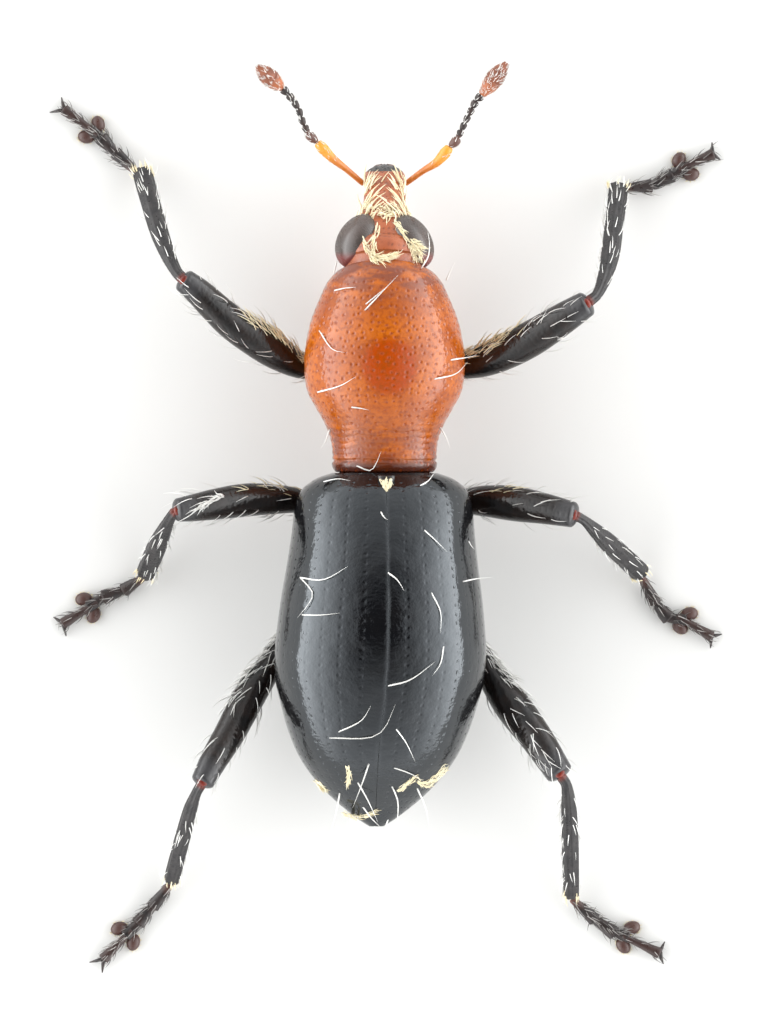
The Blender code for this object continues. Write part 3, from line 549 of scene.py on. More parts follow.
def makeUnderside(start, end, seams, stations, seed):
    rows = hindStations(stations, start, end)
    for seam in seams:
        rows[:, 4] += hindBody["ventriteDepth"] * bump(rows[:, 0] - seam, 0.012)
        rows[:, 4] -= 0.006 * bump(rows[:, 0] - seam + 0.045, 0.030)
    grid = underGrid(rows)
    normals = gridNormals(grid)
    pits = scatter(grid, 0.085, 0.020, seed, slice(33, 95))
    distance = nearest(grid, pits)
    pit = 1 - softStep(0.006, 0.020, distance)
    return grid - normals * (0.006 * pit)[:, :, None], pit


for node, start, end, seams, stations, seed in (
        ("pterothorax", -0.360, hindBody["split"][0], hindBody["thoraxSeams"], 110, 11),
        ("abdomen", hindBody["split"][1], 2.318, hindBody["ventriteSeams"], 200, 12)):
    grid, pit = makeUnderside(start, end, seams, stations, seed)
    place(f"{node}Skin", gridMesh(f"{node}Skin", [grid], pit=[pit]), underShell, "black_cuticle", [node])
print("underside made")


# Head and rostrum: y, z, half width, half height, in the animal's middle plane.
head = {
    "rows": [(-1.964, 0.924, 0.300, 0.308), (-1.990, 0.916, 0.318, 0.310), (-2.060, 0.884, 0.326, 0.280),
             (-2.140, 0.856, 0.300, 0.245), (-2.215, 0.816, 0.240, 0.222), (-2.275, 0.773, 0.194, 0.182),
             (-2.326, 0.714, 0.168, 0.146), (-2.400, 0.625, 0.160, 0.126), (-2.480, 0.525, 0.158, 0.116),
             (-2.550, 0.430, 0.160, 0.110), (-2.605, 0.345, 0.158, 0.098), (-2.632, 0.300, 0.140, 0.080)],
    "stations": 210, "around": 150, "keelHeight": 0.010, "keelWidth": 0.016, "neckEnd": -1.820,
    "darkTip": (2.646, 2.654),
}


def makeHead(form):
    rows = [(0, y, z, width, height) for y, z, width, height in form["rows"]]
    rows = evenRows(rows, form["stations"])
    centres, widths, heights = rows[:, :3], rows[:, 3][:, None, None], rows[:, 4][:, None, None]
    way = unit(np.gradient(centres, axis=0))
    up = np.cross((1.0, 0, 0), way)
    up *= np.sign(up[:, 2:])
    angles = np.linspace(0, 2 * pi, form["around"], endpoint=False)[None, :, None]
    across = np.cos(angles) * np.array((1.0, 0, 0))
    grid = centres[:, None] + widths * across + heights * np.sin(angles) * up[:, None]
    normals = gridNormals(grid)
    along = np.linspace(0, 1, form["stations"])[:, None]
    top = np.sin(angles[..., 0]) > 0
    keel = bump(grid[:, :, 0], form["keelWidth"]) * softStep(0.50, 0.62, along) * top
    sideKeel = bump(np.abs(grid[:, :, 0]) - 0.070, 0.014) * softStep(0.55, 0.65, along) * top
    scrobe = bump(np.sin(angles[..., 0]) + 0.25, 0.22) * softStep(0.55, 0.7, along)
    pits = scatter(grid, 0.042, 0.010, 21, slice(0, form["around"]))
    pit = 1 - softStep(0.004, 0.011, nearest(grid, pits))
    rise = form["keelHeight"] * (keel + 0.6 * sideKeel) - 0.022 * scrobe - 0.004 * pit
    grid = grid + normals * rise[:, :, None]
    # the neck runs on level into the prothorax
    deep = grid[0] * (1, 0, 1) + (0, form["neckEnd"], 0)
    neck = np.stack([deep + share * (grid[0] - deep) for share in np.linspace(0, 0.85, 7)])
    grid = roundEnds(np.concatenate([neck, grid]), 0.0, 0.020)
    pit = np.concatenate([np.zeros(neck.shape[:2]), pit])
    return grid, np.concatenate([pit, np.zeros((len(grid) - len(pit), form["around"]))])


headGrid, headPit = makeHead(head)
headTip = softStep(*head["darkTip"], -headGrid[:, :, 1])
mesh = gridMesh("headSkin", [headGrid], pit=[headPit], tip=[headTip])
place("headSkin", mesh, headShell, "red_brown_cuticle", ["head", "rostrum"])

mandible = {"root": (0.045, -2.640, 0.286), "tip": (0.022, -2.704, 0.205), "radii": (0.052, 0.040, 0.012),
            "darkTip": (2.690, 2.712)}


def makeMandibles(form):
    (x, y, z), (tipX, tipY, tipZ) = form["root"], form["tip"]
    rootRadius, middleRadius, tipRadius = form["radii"]
    grids = []
    for side in (1, -1):
        rows = [(side * x, y, z, rootRadius), (side * 1.1 * x, (y + tipY) / 2, (z + tipZ) / 2, middleRadius),
                (side * tipX, tipY, tipZ, tipRadius)]
        grids.append(tubeGrid(rows, 24, 20, flatness=0.7, last=tipRadius))
    return grids


grids = makeMandibles(mandible)
jaws = gridMesh("mandibles_skin", grids, pit=[np.full(g.shape[:2], 0.3) for g in grids],
                tip=[softStep(*mandible["darkTip"], -g[:, :, 1]) for g in grids])
place("mandibles_skin", jaws, headShell, "black_cuticle", ["mandibles"])

eye = {"centre": (0.197, -2.108, 0.938), "radii": (0.152, 0.221, 0.216), "turn": radians(-33),
       "facetRise": 0.0036, "subdivisions": 5, "redRear": (-2.04, -1.97)}
leftEye = {**eye, "centre": (0.190, -2.110, 0.938), "radii": (0.163, 0.221, 0.216)}


def makeEye(form, side):
    # a dome of six-sided facets: one for each point of a fine ball
    bm = bmesh.new()
    bmesh.ops.create_icosphere(bm, subdivisions=form["subdivisions"], radius=1)
    points = [v.co.copy() for v in bm.verts]
    tops = len(points)
    middles = {}
    for edge in bm.edges:
        middles[edge.index] = len(points)
        points.append(((edge.verts[0].co + edge.verts[1].co) / 2).normalized())
    faces = []
    for face in bm.faces:
        centre = len(points)
        points.append(face.calc_center_median().normalized())
        for loop in face.loops:
            before, after = middles[loop.link_loop_prev.edge.index], middles[loop.edge.index]
            faces.append((before, loop.vert.index, after, centre))
    bm.free()
    points = np.array(points)
    cosTurn, sinTurn = cos(side * form["turn"]), sin(side * form["turn"])
    scaled = points * np.array(form["radii"])
    scaled += points * np.where(np.arange(len(points)) < tops, form["facetRise"], 0)[:, None]
    x = scaled[:, 0] * cosTurn - scaled[:, 1] * sinTurn + side * form["centre"][0]
    y = scaled[:, 0] * sinTurn + scaled[:, 1] * cosTurn + form["centre"][1]
    mesh = bpy.data.meshes.new("eye")
    mesh.from_pydata(np.stack([x, y, scaled[:, 2] + form["centre"][2]], axis=1) * mm, [], faces)
    pit = np.where(np.arange(len(points)) < tops, 0.0, 0.75)
    for label, value in (("pit", pit), ("tip", softStep(*form["redRear"], y))):
        mesh.attributes.new(label, "FLOAT", "POINT").data.foreach_set("value", value)
    mesh.shade_smooth()
    return mesh


for side, name, form in ((1, "left", leftEye), (-1, "right", eye)):
    place(f"eyeFacets_{name}", makeEye(form, side), eyeShell, "eye_surface", [f"eye_{name}"])

scutellum = {"middle": -0.014, "halfWidth": 0.066, "ends": (-0.340, -0.215), "top": 1.262,
             "section": [(1, 0.150), (1, 0.012), (0.5, 0), (-0.5, 0), (-1, 0.012), (-1, 0.150)]}


def makeScutellum(form):
    front, back = form["ends"]
    rings = []
    for t in np.linspace(0, 0.92, 12):
        half = form["halfWidth"] * (1 - t**1.6)
        rings.append([(form["middle"] + half * x, front + t * (back - front), form["top"] + 0.030 * t - drop)
                      for x, drop in form["section"]])
    return np.array(rings)


scutellumGrid = makeScutellum(scutellum)
mesh = gridMesh("scutellum_plate", [scutellumGrid], pit=[0 * scutellumGrid[:, :, 0]])
place("scutellum_plate", mesh, underShell, "black_cuticle", ["scutellum"])
print("head made")

# Antennae: scape stations, funicle beads from the scape outward, club ends.
antenna = {
    "scapeRadii": (0.021, 0.024, 0.033, 0.043, 0.034),
    "beadRadii": (0.037, 0.028, 0.027, 0.027, 0.028, 0.031, 0.034),
    "beadShares": (1.45, 1, 1, 1, 1, 1, 0.95),
    "clubRadii": (0.030, 0.052, 0.066, 0.068, 0.054, 0.026),
    "left": {
        "scape": [(0.165, -2.560, 0.440), (0.290, -2.665, 0.525), (0.391, -2.743, 0.575),
                  (0.470, -2.822, 0.610), (0.502, -2.856, 0.618)],
        "funicle": [(0.512, -2.868, 0.621), (0.565, -2.917, 0.636), (0.618, -3.016, 0.655),
                    (0.656, -3.122, 0.672), (0.725, -3.222, 0.690), (0.775, -3.272, 0.700)],
        "club": [(0.781, -3.278, 0.702), (0.958, -3.428, 0.800)],
    },
    "right": {
        "scape": [(-0.165, -2.560, 0.440), (-0.290, -2.650, 0.525), (-0.391, -2.712, 0.575),
                  (-0.460, -2.786, 0.610), (-0.488, -2.824, 0.618)],
        "funicle": [(-0.496, -2.836, 0.621), (-0.542, -2.879, 0.636), (-0.588, -2.970, 0.655),
                    (-0.641, -3.077, 0.672), (-0.690, -3.170, 0.684), (-0.736, -3.222, 0.690)],
        "club": [(-0.742, -3.229, 0.692), (-0.918, -3.455, 0.730)],
    },
}


def makeScape(form, points):
    rows = [(*point, radius) for point, radius in zip(points, form["scapeRadii"])]
    return tubeGrid(rows, 40, 60, first=0.010, last=0.014)


def makeFunicle(form, points):
    path = smoothRows(points, 24)
    lengths = lengthAlong(path)
    ends = np.concatenate([[0], np.cumsum(form["beadShares"])]) / sum(form["beadShares"]) * lengths[-1]
    rings = []
    for start, end, radius in zip(ends[:-1], ends[1:], form["beadRadii"]):
        for share, swell in ((0.02, 0.45), (0.08, 0.58), (0.20, 0.76), (0.38, 0.90), (0.58, 0.98),
                             (0.76, 1.00), (0.88, 0.90), (0.95, 0.68), (0.985, 0.46)):
            place = start + share * (end - start)
            rings.append([*readTable(place, lengths, path), radius * swell])
    rings = np.array(rings)
    return ringsAlong(rings[:, :3], rings[:, 3], 28)


def makeClub(form, ends):
    start, end = (np.array(p) for p in ends)
    shares = np.linspace(0, 1, len(form["clubRadii"]))[:, None]
    rows = np.hstack([start + (end - start) * shares, np.array(form["clubRadii"])[:, None]])
    grid = tubeGrid(rows, 48, 90, first=0.012, last=0.016)
    along = np.clip((np.arange(len(grid)) - 7) / 89, 0, 1)
    centres = grid.mean(axis=1, keepdims=True)
    groove = 0.10 * (bump(along - 0.46, 0.012) + bump(along - 0.74, 0.012))
    return centres + (grid - centres) * (1 - groove)[:, None, None]


antennaGrids = {}
for side in ("left", "right"):
    places = antenna[side]
    made = (("scape", makeScape(antenna, places["scape"]), scapeShell, "antenna_cuticle"),
            ("funicle", makeFunicle(antenna, places["funicle"]), funicleShell, "dark_antenna"),
            ("club", makeClub(antenna, places["club"]), clubShell, "dark_antenna"))
    for part, grid, material, slot in made:
        antennaGrids[f"{part}_{side}"] = grid
        along = shareAlong(grid)
        tip = {"scape": softStep(0.55, 0.75, along), "funicle": along < 0.18,
               "club": 1 - softStep(0.25, 0.5, along)}
        mesh = gridMesh(f"{part}Skin_{side}", [grid], pit=[0 * along], tip=[tip[part]])
        place(f"{part}Skin_{side}", mesh, material, slot, [f"{part}_{side}"])
print("antennae made")

# Legs: femur and tibia as x, y, z, half width; the tarsus through the ends of its segments.
legs = {
    "left_fore": {
        "coxa": ((0.185, -1.165, 0.345), (0.150, 0.165, 0.150)),
        "femur": [(0.345, -1.150, 0.345, 0.070), (0.620, -1.165, 0.450, 0.090), (0.790, -1.255, 0.535, 0.126),
                  (0.945, -1.362, 0.605, 0.143), (1.165, -1.506, 0.685, 0.128), (1.392, -1.715, 0.765, 0.107),
                  (1.510, -1.812, 0.800, 0.092)],
        "tibia": [(1.530, -1.832, 0.795, 0.044), (1.580, -1.890, 0.755, 0.044), (1.650, -2.030, 0.640, 0.058),
                  (1.715, -2.200, 0.500, 0.070), (1.785, -2.430, 0.315, 0.073), (1.835, -2.610, 0.170, 0.076),
                  (1.848, -2.655, 0.135, 0.070)],
        "tarsus": [(1.905, -2.668, 0.100), (2.050, -2.800, 0.060), (2.155, -2.912, 0.056)],
        "lobes": [(2.183, -3.020), (2.272, -2.925)],
        "clawSegment": [(2.180, -2.935, 0.070), (2.440, -3.130, 0.058)],
        "claws": [(2.462, -3.222), (2.548, -3.112)],
    },
    "right_fore": {
        "coxa": ((-0.185, -1.175, 0.345), (0.150, 0.165, 0.150)),
        "femur": [(-0.345, -1.165, 0.345, 0.070), (-0.620, -1.180, 0.460, 0.105),
                  (-0.831, -1.241, 0.560, 0.130), (-1.096, -1.369, 0.675, 0.137),
                  (-1.354, -1.530, 0.785, 0.120), (-1.520, -1.635, 0.850, 0.100)],
        "tibia": [(-1.548, -1.660, 0.845, 0.042), (-1.612, -1.719, 0.800, 0.040),
                  (-1.672, -1.860, 0.690, 0.056), (-1.712, -2.030, 0.550, 0.071),
                  (-1.740, -2.230, 0.385, 0.072), (-1.768, -2.440, 0.220, 0.074),
                  (-1.780, -2.540, 0.145, 0.072)],
        "tarsus": [(-1.810, -2.530, 0.105), (-2.030, -2.550, 0.060), (-2.190, -2.630, 0.056)],
        "lobes": [(-2.245, -2.745), (-2.335, -2.640)],
        "clawSegment": [(-2.240, -2.675, 0.070), (-2.500, -2.792, 0.058)],
        "claws": [(-2.497, -2.880), (-2.560, -2.750)],
    },
    "left_mid": {
        "coxa": ((0.230, -0.080, 0.330), (0.140, 0.140, 0.130)),
        "femur": [(0.375, -0.110, 0.335, 0.066), (0.560, -0.140, 0.405, 0.080), (0.780, -0.160, 0.520, 0.108),
                  (1.036, -0.156, 0.650, 0.126), (1.270, -0.125, 0.770, 0.118), (1.450, -0.095, 0.850, 0.102),
                  (1.556, -0.080, 0.895, 0.090)],
        "tibia": [(1.585, -0.060, 0.890, 0.040), (1.622, -0.012, 0.835, 0.040), (1.670, 0.080, 0.680, 0.056),
                  (1.722, 0.190, 0.500, 0.073), (1.770, 0.300, 0.315, 0.075), (1.808, 0.390, 0.165, 0.076),
                  (1.816, 0.410, 0.135, 0.070)],
        "tarsus": [(1.845, 0.440, 0.100), (1.985, 0.530, 0.060), (2.140, 0.585, 0.056)],
        "lobes": [(2.292, 0.600), (2.218, 0.720)],
        "clawSegment": [(2.185, 0.622, 0.070), (2.447, 0.785, 0.058)],
        "claws": [(2.520, 0.738), (2.428, 0.878)],
    },
    "right_mid": {
        "coxa": ((-0.230, -0.080, 0.330), (0.140, 0.140, 0.130)),
        "femur": [(-0.375, -0.110, 0.335, 0.066), (-0.560, -0.140, 0.410, 0.088),
                  (-0.760, -0.148, 0.520, 0.118), (-0.980, -0.128, 0.650, 0.133),
                  (-1.225, -0.087, 0.765, 0.116), (-1.420, -0.045, 0.845, 0.098)],
        "tibia": [(-1.450, -0.035, 0.845, 0.038), (-1.514, 0.000, 0.800, 0.036),
                  (-1.610, 0.085, 0.670, 0.056), (-1.715, 0.182, 0.510, 0.073), (-1.830, 0.285, 0.330, 0.075),
                  (-1.930, 0.378, 0.170, 0.076), (-1.950, 0.398, 0.138, 0.070)],
        "tarsus": [(-1.962, 0.440, 0.105), (-2.060, 0.625, 0.060), (-2.165, 0.745, 0.056)],
        "lobes": [(-2.325, 0.712), (-2.253, 0.812)],
        "clawSegment": [(-2.225, 0.730, 0.070), (-2.490, 0.882, 0.058)],
        "claws": [(-2.568, 0.868), (-2.486, 0.970)],
    },
    "left_hind": {
        "coxa": ((0.400, 0.560, 0.325), (0.170, 0.120, 0.110)),
        "femur": [(0.565, 0.630, 0.335, 0.066), (0.715, 0.850, 0.385, 0.070), (0.862, 1.080, 0.455, 0.102),
                  (1.010, 1.305, 0.560, 0.124), (1.160, 1.590, 0.700, 0.118), (1.290, 1.810, 0.805, 0.105),
                  (1.372, 1.968, 0.872, 0.090)],
        "tibia": [(1.385, 1.998, 0.865, 0.038), (1.425, 2.068, 0.810, 0.038), (1.470, 2.190, 0.690, 0.052),
                  (1.520, 2.370, 0.520, 0.058), (1.572, 2.560, 0.330, 0.060), (1.612, 2.710, 0.180, 0.060),
                  (1.620, 2.740, 0.145, 0.054)],
        "tarsus": [(1.635, 2.775, 0.105), (1.765, 2.940, 0.058), (1.875, 3.065, 0.054)],
        "lobes": [(2.022, 3.110), (1.915, 3.215)],
        "clawSegment": [(1.925, 3.120, 0.068), (2.140, 3.340, 0.056)],
        "claws": [(2.245, 3.368), (2.152, 3.445)],
    },
    "right_hind": {
        "coxa": ((-0.400, 0.560, 0.325), (0.170, 0.120, 0.110)),
        "femur": [(-0.565, 0.640, 0.335, 0.066), (-0.665, 0.890, 0.385, 0.072), (-0.790, 1.140, 0.455, 0.104),
                  (-0.960, 1.392, 0.570, 0.137), (-1.145, 1.640, 0.700, 0.126),
                  (-1.320, 1.905, 0.805, 0.105)],
        "tibia": [(-1.340, 1.938, 0.800, 0.038), (-1.380, 2.010, 0.750, 0.040), (-1.398, 2.160, 0.640, 0.056),
                  (-1.410, 2.400, 0.470, 0.064), (-1.418, 2.640, 0.300, 0.062), (-1.424, 2.835, 0.155, 0.058),
                  (-1.425, 2.855, 0.140, 0.054)],
        "tarsus": [(-1.440, 2.895, 0.105), (-1.600, 3.040, 0.058), (-1.750, 3.145, 0.054)],
        "lobes": [(-1.885, 3.105), (-1.820, 3.240)],
        "clawSegment": [(-1.815, 3.165, 0.068), (-2.092, 3.297, 0.056)],
        "claws": [(-2.135, 3.215), (-2.125, 3.378)],
    },
}
limb = {"femurFlatness": 0.94, "tibiaFlatness": 0.86, "lobeRadii": (0.066, 0.052, 0.046), "lobeHeight": 0.034,
        "clawRadius": 0.017, "kneeRadii": (0.026, 0.040, 0.016),
        "pitSpacing": 0.055, "pitJitter": 0.012, "pitRadius": 0.010, "pitDepth": 0.0035}


def ballGrid(centre, radii, turn=0.0, stations=28, around=40):
    level = np.linspace(radians(3), radians(177), stations)[:, None]
    a = np.linspace(0, 2 * pi, around, endpoint=False)[None, :]
    x, y = radii[0] * np.sin(level) * np.cos(a), radii[1] * np.sin(level) * np.sin(a)
    grid = np.stack([x * cos(turn) - y * sin(turn), x * sin(turn) + y * cos(turn),
                     radii[2] * np.cos(level) + 0 * a], axis=2)
    return grid + np.array(centre)


def pitted(grid, seed):
    pits = scatter(grid, limb["pitSpacing"], limb["pitJitter"], seed, slice(0, grid.shape[1]))
    pit = 1 - softStep(0.3 * limb["pitRadius"], limb["pitRadius"], nearest(grid, pits))
    return grid - gridNormals(grid) * (limb["pitDepth"] * pit)[:, :, None], pit


def makeTibia(rows):
    grid = tubeGrid(rows, 64, 120, limb["tibiaFlatness"], first=0.030, last=0.014)
    angles = np.linspace(0, 2 * pi, 64, endpoint=False)
    return grid + gridNormals(grid) * (0.0028 * np.cos(7 * angles))[None, :, None]


def makeClaw(root, tip):
    root, tip = np.array(root), np.array(tip)
    middle = (root + tip) / 2 + np.array((0, 0, 0.018))
    radius = limb["clawRadius"]
    rows = [(*root, radius), (*middle, 0.75 * radius), (*tip, 0.28 * radius)]
    return tubeGrid(rows, 16, 22, last=0.006)


def makeTarsus(leg):
    start, first, second = (np.array(p) for p in leg["tarsus"])
    lobeMiddle = np.array([*np.mean(leg["lobes"], axis=0), 0.050])
    clawRoot, clawEnd = (np.array(p) for p in leg["clawSegment"])
    grids = []
    for a, b, narrow, wide in ((start, first, 0.028, 0.053), (first, second, 0.030, 0.058),
                               (second, lobeMiddle, 0.030, 0.054)):
        way = unit(b - a)
        rows = [(*(a - 0.010 * way), narrow), (*(a + 0.45 * (b - a)), 0.75 * wide), (*b, wide)]
        grids.append(tubeGrid(rows, 32, 26, flatness=0.72, first=0.012, last=0.016))
    length = clawEnd - clawRoot
    rows = [(*clawRoot, 0.022), (*(clawRoot + 0.5 * length), 0.030), (*clawEnd, 0.044)]
    grids.append(tubeGrid(rows, 28, 30, flatness=0.85, last=0.012))
    lobes = []
    for x, y in leg["lobes"]:
        out = np.array((x, y)) - second[:2]
        lobes.append(ballGrid((x, y, limb["lobeHeight"]), limb["lobeRadii"], atan2(out[1], out[0]), 22, 32))
    claws = [makeClaw(clawEnd, (x, y, 0.012)) for x, y in leg["claws"]]
    for grid in grids + lobes + claws:
        grid[:, :, 2] = np.maximum(grid[:, :, 2], 0.0)
    return grids, lobes, claws


def makeKnee(femur, rows):
    # the bare joint on top of a femur's end
    (x, y, _, _), (endX, endY, _, _) = rows[-2:]
    way = unit(np.array((endX - x, endY - y)))
    top = femur[:, femur.shape[1] // 4]
    at = np.array((endX, endY)) + 0.012 * way
    height = top[np.linalg.norm(top[:, :2] - at, axis=1).argmin(), 2]
    return ballGrid((*at, height - 0.006), limb["kneeRadii"], atan2(way[1], way[0]), 18, 28)


legGrids = {}
for number, (name, leg) in enumerate(legs.items()):
    centre, radii = leg["coxa"]
    coxa, coxaPit = pitted(ballGrid(centre, radii), 40 + number)
    femur = tubeGrid(leg["femur"], 72, 150, limb["femurFlatness"], first=0.020, last=0.040)
    femur, femurPit = pitted(femur, 50 + number)
    tibia, tibiaPit = pitted(makeTibia(leg["tibia"]), 60 + number)
    segments, lobes, claws = makeTarsus(leg)
    for part, grid, pit, tip, material in (
            ("coxa", coxa, coxaPit, 0 * coxaPit, legShell),
            ("femur", femur, femurPit, softStep(0.84, 0.92, shareAlong(femur)), legShell),
            ("tibia", tibia, tibiaPit, 1 - softStep(0.04, 0.08, shareAlong(tibia)), tibiaShell)):
        legGrids[f"{name}_{part}"] = grid
        mesh = gridMesh(f"{part}Skin_{name}", [grid], pit=[pit], tip=[tip])
        place(f"{part}Skin_{name}", mesh, material, "leg_cuticle", [f"{name}_{part}"])
    knee = makeKnee(femur, leg["femur"])
    place(f"kneeMembrane_{name}", gridMesh(f"kneeMembrane_{name}", [knee]), membrane, "leg_cuticle")
    legGrids[f"{name}_segments"], legGrids[f"{name}_lobes"] = segments, lobes
    grids = segments + lobes + claws
    tips = [1 - softStep(0.0, 0.5, shareAlong(segments[0]))]
    tips += [np.full(g.shape[:2], level) for group, level in ((segments[1:3], 0.0), (segments[3:], 0.12),
                                                              (lobes, 0.32), (claws, 0.0)) for g in group]
    mesh = gridMesh(f"tarsusSkin_{name}", grids, pit=[0 * g[:, :, 0] for g in grids], tip=tips)
    place(f"tarsusSkin_{name}", mesh, footShell, "tarsus_cuticle", [f"{name}_tarsus"])
print("legs made")


# Coats: one tree grows bent, tapered hairs wherever a skin's "hairy" value is above zero

def makeCoatTree():
    tree = bpy.data.node_groups.new("coat", "GeometryNodeTree")
    tree.interface.new_socket("Geometry", in_out="INPUT", socket_type="NodeSocketGeometry")
    for name, kind in (("Density", "Float"), ("Length", "Float"), ("Width", "Float"), ("Lift", "Float"),
                       ("Spread", "Float"), ("Seed", "Int"), ("Material", "Material")):
        tree.interface.new_socket(name, in_out="INPUT", socket_type=f"NodeSocket{kind}")
    tree.interface.new_socket("Geometry", in_out="OUTPUT", socket_type="NodeSocketGeometry")

    def add(kind, inputs=(), **settings):
        return addTo(tree, kind, inputs, **settings)

    def times(first, second):
        return add("ShaderNodeMath", {0: first, 1: second}, operation="MULTIPLY").outputs[0]

    def vector(x, y, z):
        return add("ShaderNodeCombineXYZ", {0: x, 1: y, 2: z}).outputs[0]

    def drawn(low, high, seed):
        return add("FunctionNodeRandomValue", {2: low, 3: high, 8: seed}, data_type="FLOAT").outputs[1]

    def store(geometry, name, value, kind="FLOAT", domain="POINT"):
        return add("GeometryNodeStoreNamedAttribute", {"Geometry": geometry, "Name": name, "Value": value},
                   data_type=kind, domain=domain).outputs[0]

    def named(name, kind):
        return add("GeometryNodeInputNamedAttribute", {"Name": name}, data_type=kind).outputs[0]

    given = add("NodeGroupInput").outputs
    density = times(named("hairy", "FLOAT"), given["Density"])
    spread = add("GeometryNodeDistributePointsOnFaces", {"Mesh": given["Geometry"], "Density": density,
                                                         "Seed": given["Seed"]})
    standing = add("FunctionNodeAxesToRotation", {
        0: spread.outputs["Normal"], 1: named("lie", "FLOAT_VECTOR")}, primary_axis="Z", secondary_axis="X")
    turn = times(drawn(-1.0, 1.0, 1), given["Spread"])
    turned = add("FunctionNodeEulerToRotation", {0: vector(0.0, drawn(-0.35, 0.12, 2), turn)})
    facing = add("FunctionNodeRotateRotation", {0: standing.outputs[0], 1: turned.outputs[0]},
                 rotation_space="LOCAL")

    rise = times(given["Length"], given["Lift"])
    hair = add("GeometryNodeCurveQuadraticBezier", {
        "Resolution": 5, "Start": (0.0, 0.0, 0.0),
        "Middle": vector(times(given["Length"], 0.42), 0.0, rise),
        "End": vector(given["Length"], 0.0, times(rise, 0.7))})
    factor = add("GeometryNodeSplineParameter").outputs["Factor"]
    taper = add("ShaderNodeMapRange", {0: factor, 1: 0.35, 2: 1.0, 3: 0.5, 4: 0.09}).outputs[0]
    profile = add("GeometryNodeCurvePrimitiveCircle", {"Resolution": 4, "Radius": given["Width"]})
    tube = add("GeometryNodeCurveToMesh", {
        "Curve": store(hair.outputs[0], "along", factor),
        "Profile Curve": store(profile.outputs[0], "around", factor), "Scale": taper, "Fill Caps": True})
    grown = add("GeometryNodeInstanceOnPoints", {
        "Points": spread.outputs["Points"], "Instance": tube.outputs[0],
        "Rotation": facing.outputs[0], "Scale": drawn(0.65, 1.15, 3)})
    shaded = store(grown.outputs[0], "shade", drawn(0.0, 1.0, 4), domain="INSTANCE")
    real = add("GeometryNodeRealizeInstances", {"Geometry": shaded})
    local = add("ShaderNodeVectorMath", {0: vector(named("around", "FLOAT"), named("along", "FLOAT"), 0.0),
                                         "Scale": 0.003}, operation="SCALE")
    patch = add("ShaderNodeVectorMath", {0: named("UVMap", "FLOAT_VECTOR"), 1: local.outputs[0]},
                operation="ADD")
    mapped = store(real.outputs[0], "OFBake", patch.outputs[0], "FLOAT2", "CORNER")
    smooth = add("GeometryNodeSetShadeSmooth", {"Geometry": mapped})
    painted = add("GeometryNodeSetMaterial", {"Geometry": smooth.outputs[0], "Material": given["Material"]})
    result = add("NodeGroupOutput")
    tree.links.new(painted.outputs[0], result.inputs[0])
    return tree


coatTree = makeCoatTree()


def growCoat(name, grids, hairy, lie, coat, material):
    # density is in hairs to a square millimetre, and lengths are in millimetres
    mesh = gridMesh(name, grids, hairy=hairy, lie=lie)
    piece = bpy.data.objects.new(name, mesh)
    scene.collection.objects.link(piece)
    modifier = piece.modifiers.new("coat", "NODES")
    modifier.node_group = coatTree
    inputs = {"Density": coat["density"] / mm**2, "Length": coat["length"] * mm, "Width": coat["width"] * mm,
              "Lift": coat["lift"], "Spread": coat["spread"], "Seed": coat["seed"], "Material": material}
    for socket in coatTree.interface.items_tree:
        if socket.in_out == "INPUT" and socket.name in inputs:
            modifier[socket.identifier] = inputs[socket.name]
    bpy.context.view_layer.update()
    graph = bpy.context.evaluated_depsgraph_get()
    grown = bpy.data.meshes.new_from_object(piece.evaluated_get(graph))
    piece.modifiers.remove(modifier)
    piece.data = grown
    bpy.data.meshes.remove(mesh)
    for attribute in ("UVMap", "along", "around", "hairy", "lie"):
        if attribute in grown.attributes:
            grown.attributes.remove(grown.attributes[attribute])
    grown.name = name
    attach(piece, body)
    print(name, len(grown.polygons), "faces")
    return piece


def lieAlong(grid, lean=(0, 0, 0)):
    # hairs lie along a limb toward its tip
    return unit(unit(np.gradient(grid, axis=0)) + np.array(lean))


rostrumCoat = {"density": 560, "length": 0.125, "width": 0.0150, "lift": 0.15, "spread": 0.24, "seed": 1,
               "start": -2.255, "end": -2.625, "bareMiddle": 0.050}
x, y, z = (headGrid[:, :, i] for i in range(3))
onTop = softStep(0.0, 0.3, gridNormals(headGrid)[:, :, 2])
sides = softStep(rostrumCoat["bareMiddle"], 0.130, np.abs(x)) + 0.12
hairy = onTop * sides * softStep(-rostrumCoat["start"], 2.30, -y)
hairy = hairy * (1 - softStep(2.585, -rostrumCoat["end"], -y))
lie = unit(np.stack([-np.sign(x) * (1.15 - 4.5 * np.abs(x)), -0.80 + 0 * x, -0.1 + 0 * x], axis=2))
growCoat("rostrumHairs", [headGrid], [hairy], [lie], rostrumCoat, creamHair)

collarCoat = {"density": 620, "length": 0.090, "width": 0.0130, "lift": 0.50, "spread": 0.9, "seed": 2,
              "middle": -2.290, "reach": 0.030}
hairy = onTop * bump(y - collarCoat["middle"], collarCoat["reach"]) * softStep(0.01, 0.05, np.abs(x))
lie = unit(np.stack([-np.sign(x) * 0.95, -0.30 + 0 * x, 0 * x], axis=2))
growCoat("rostrumCollarHairs", [headGrid], [hairy], [lie], collarCoat, creamHair)

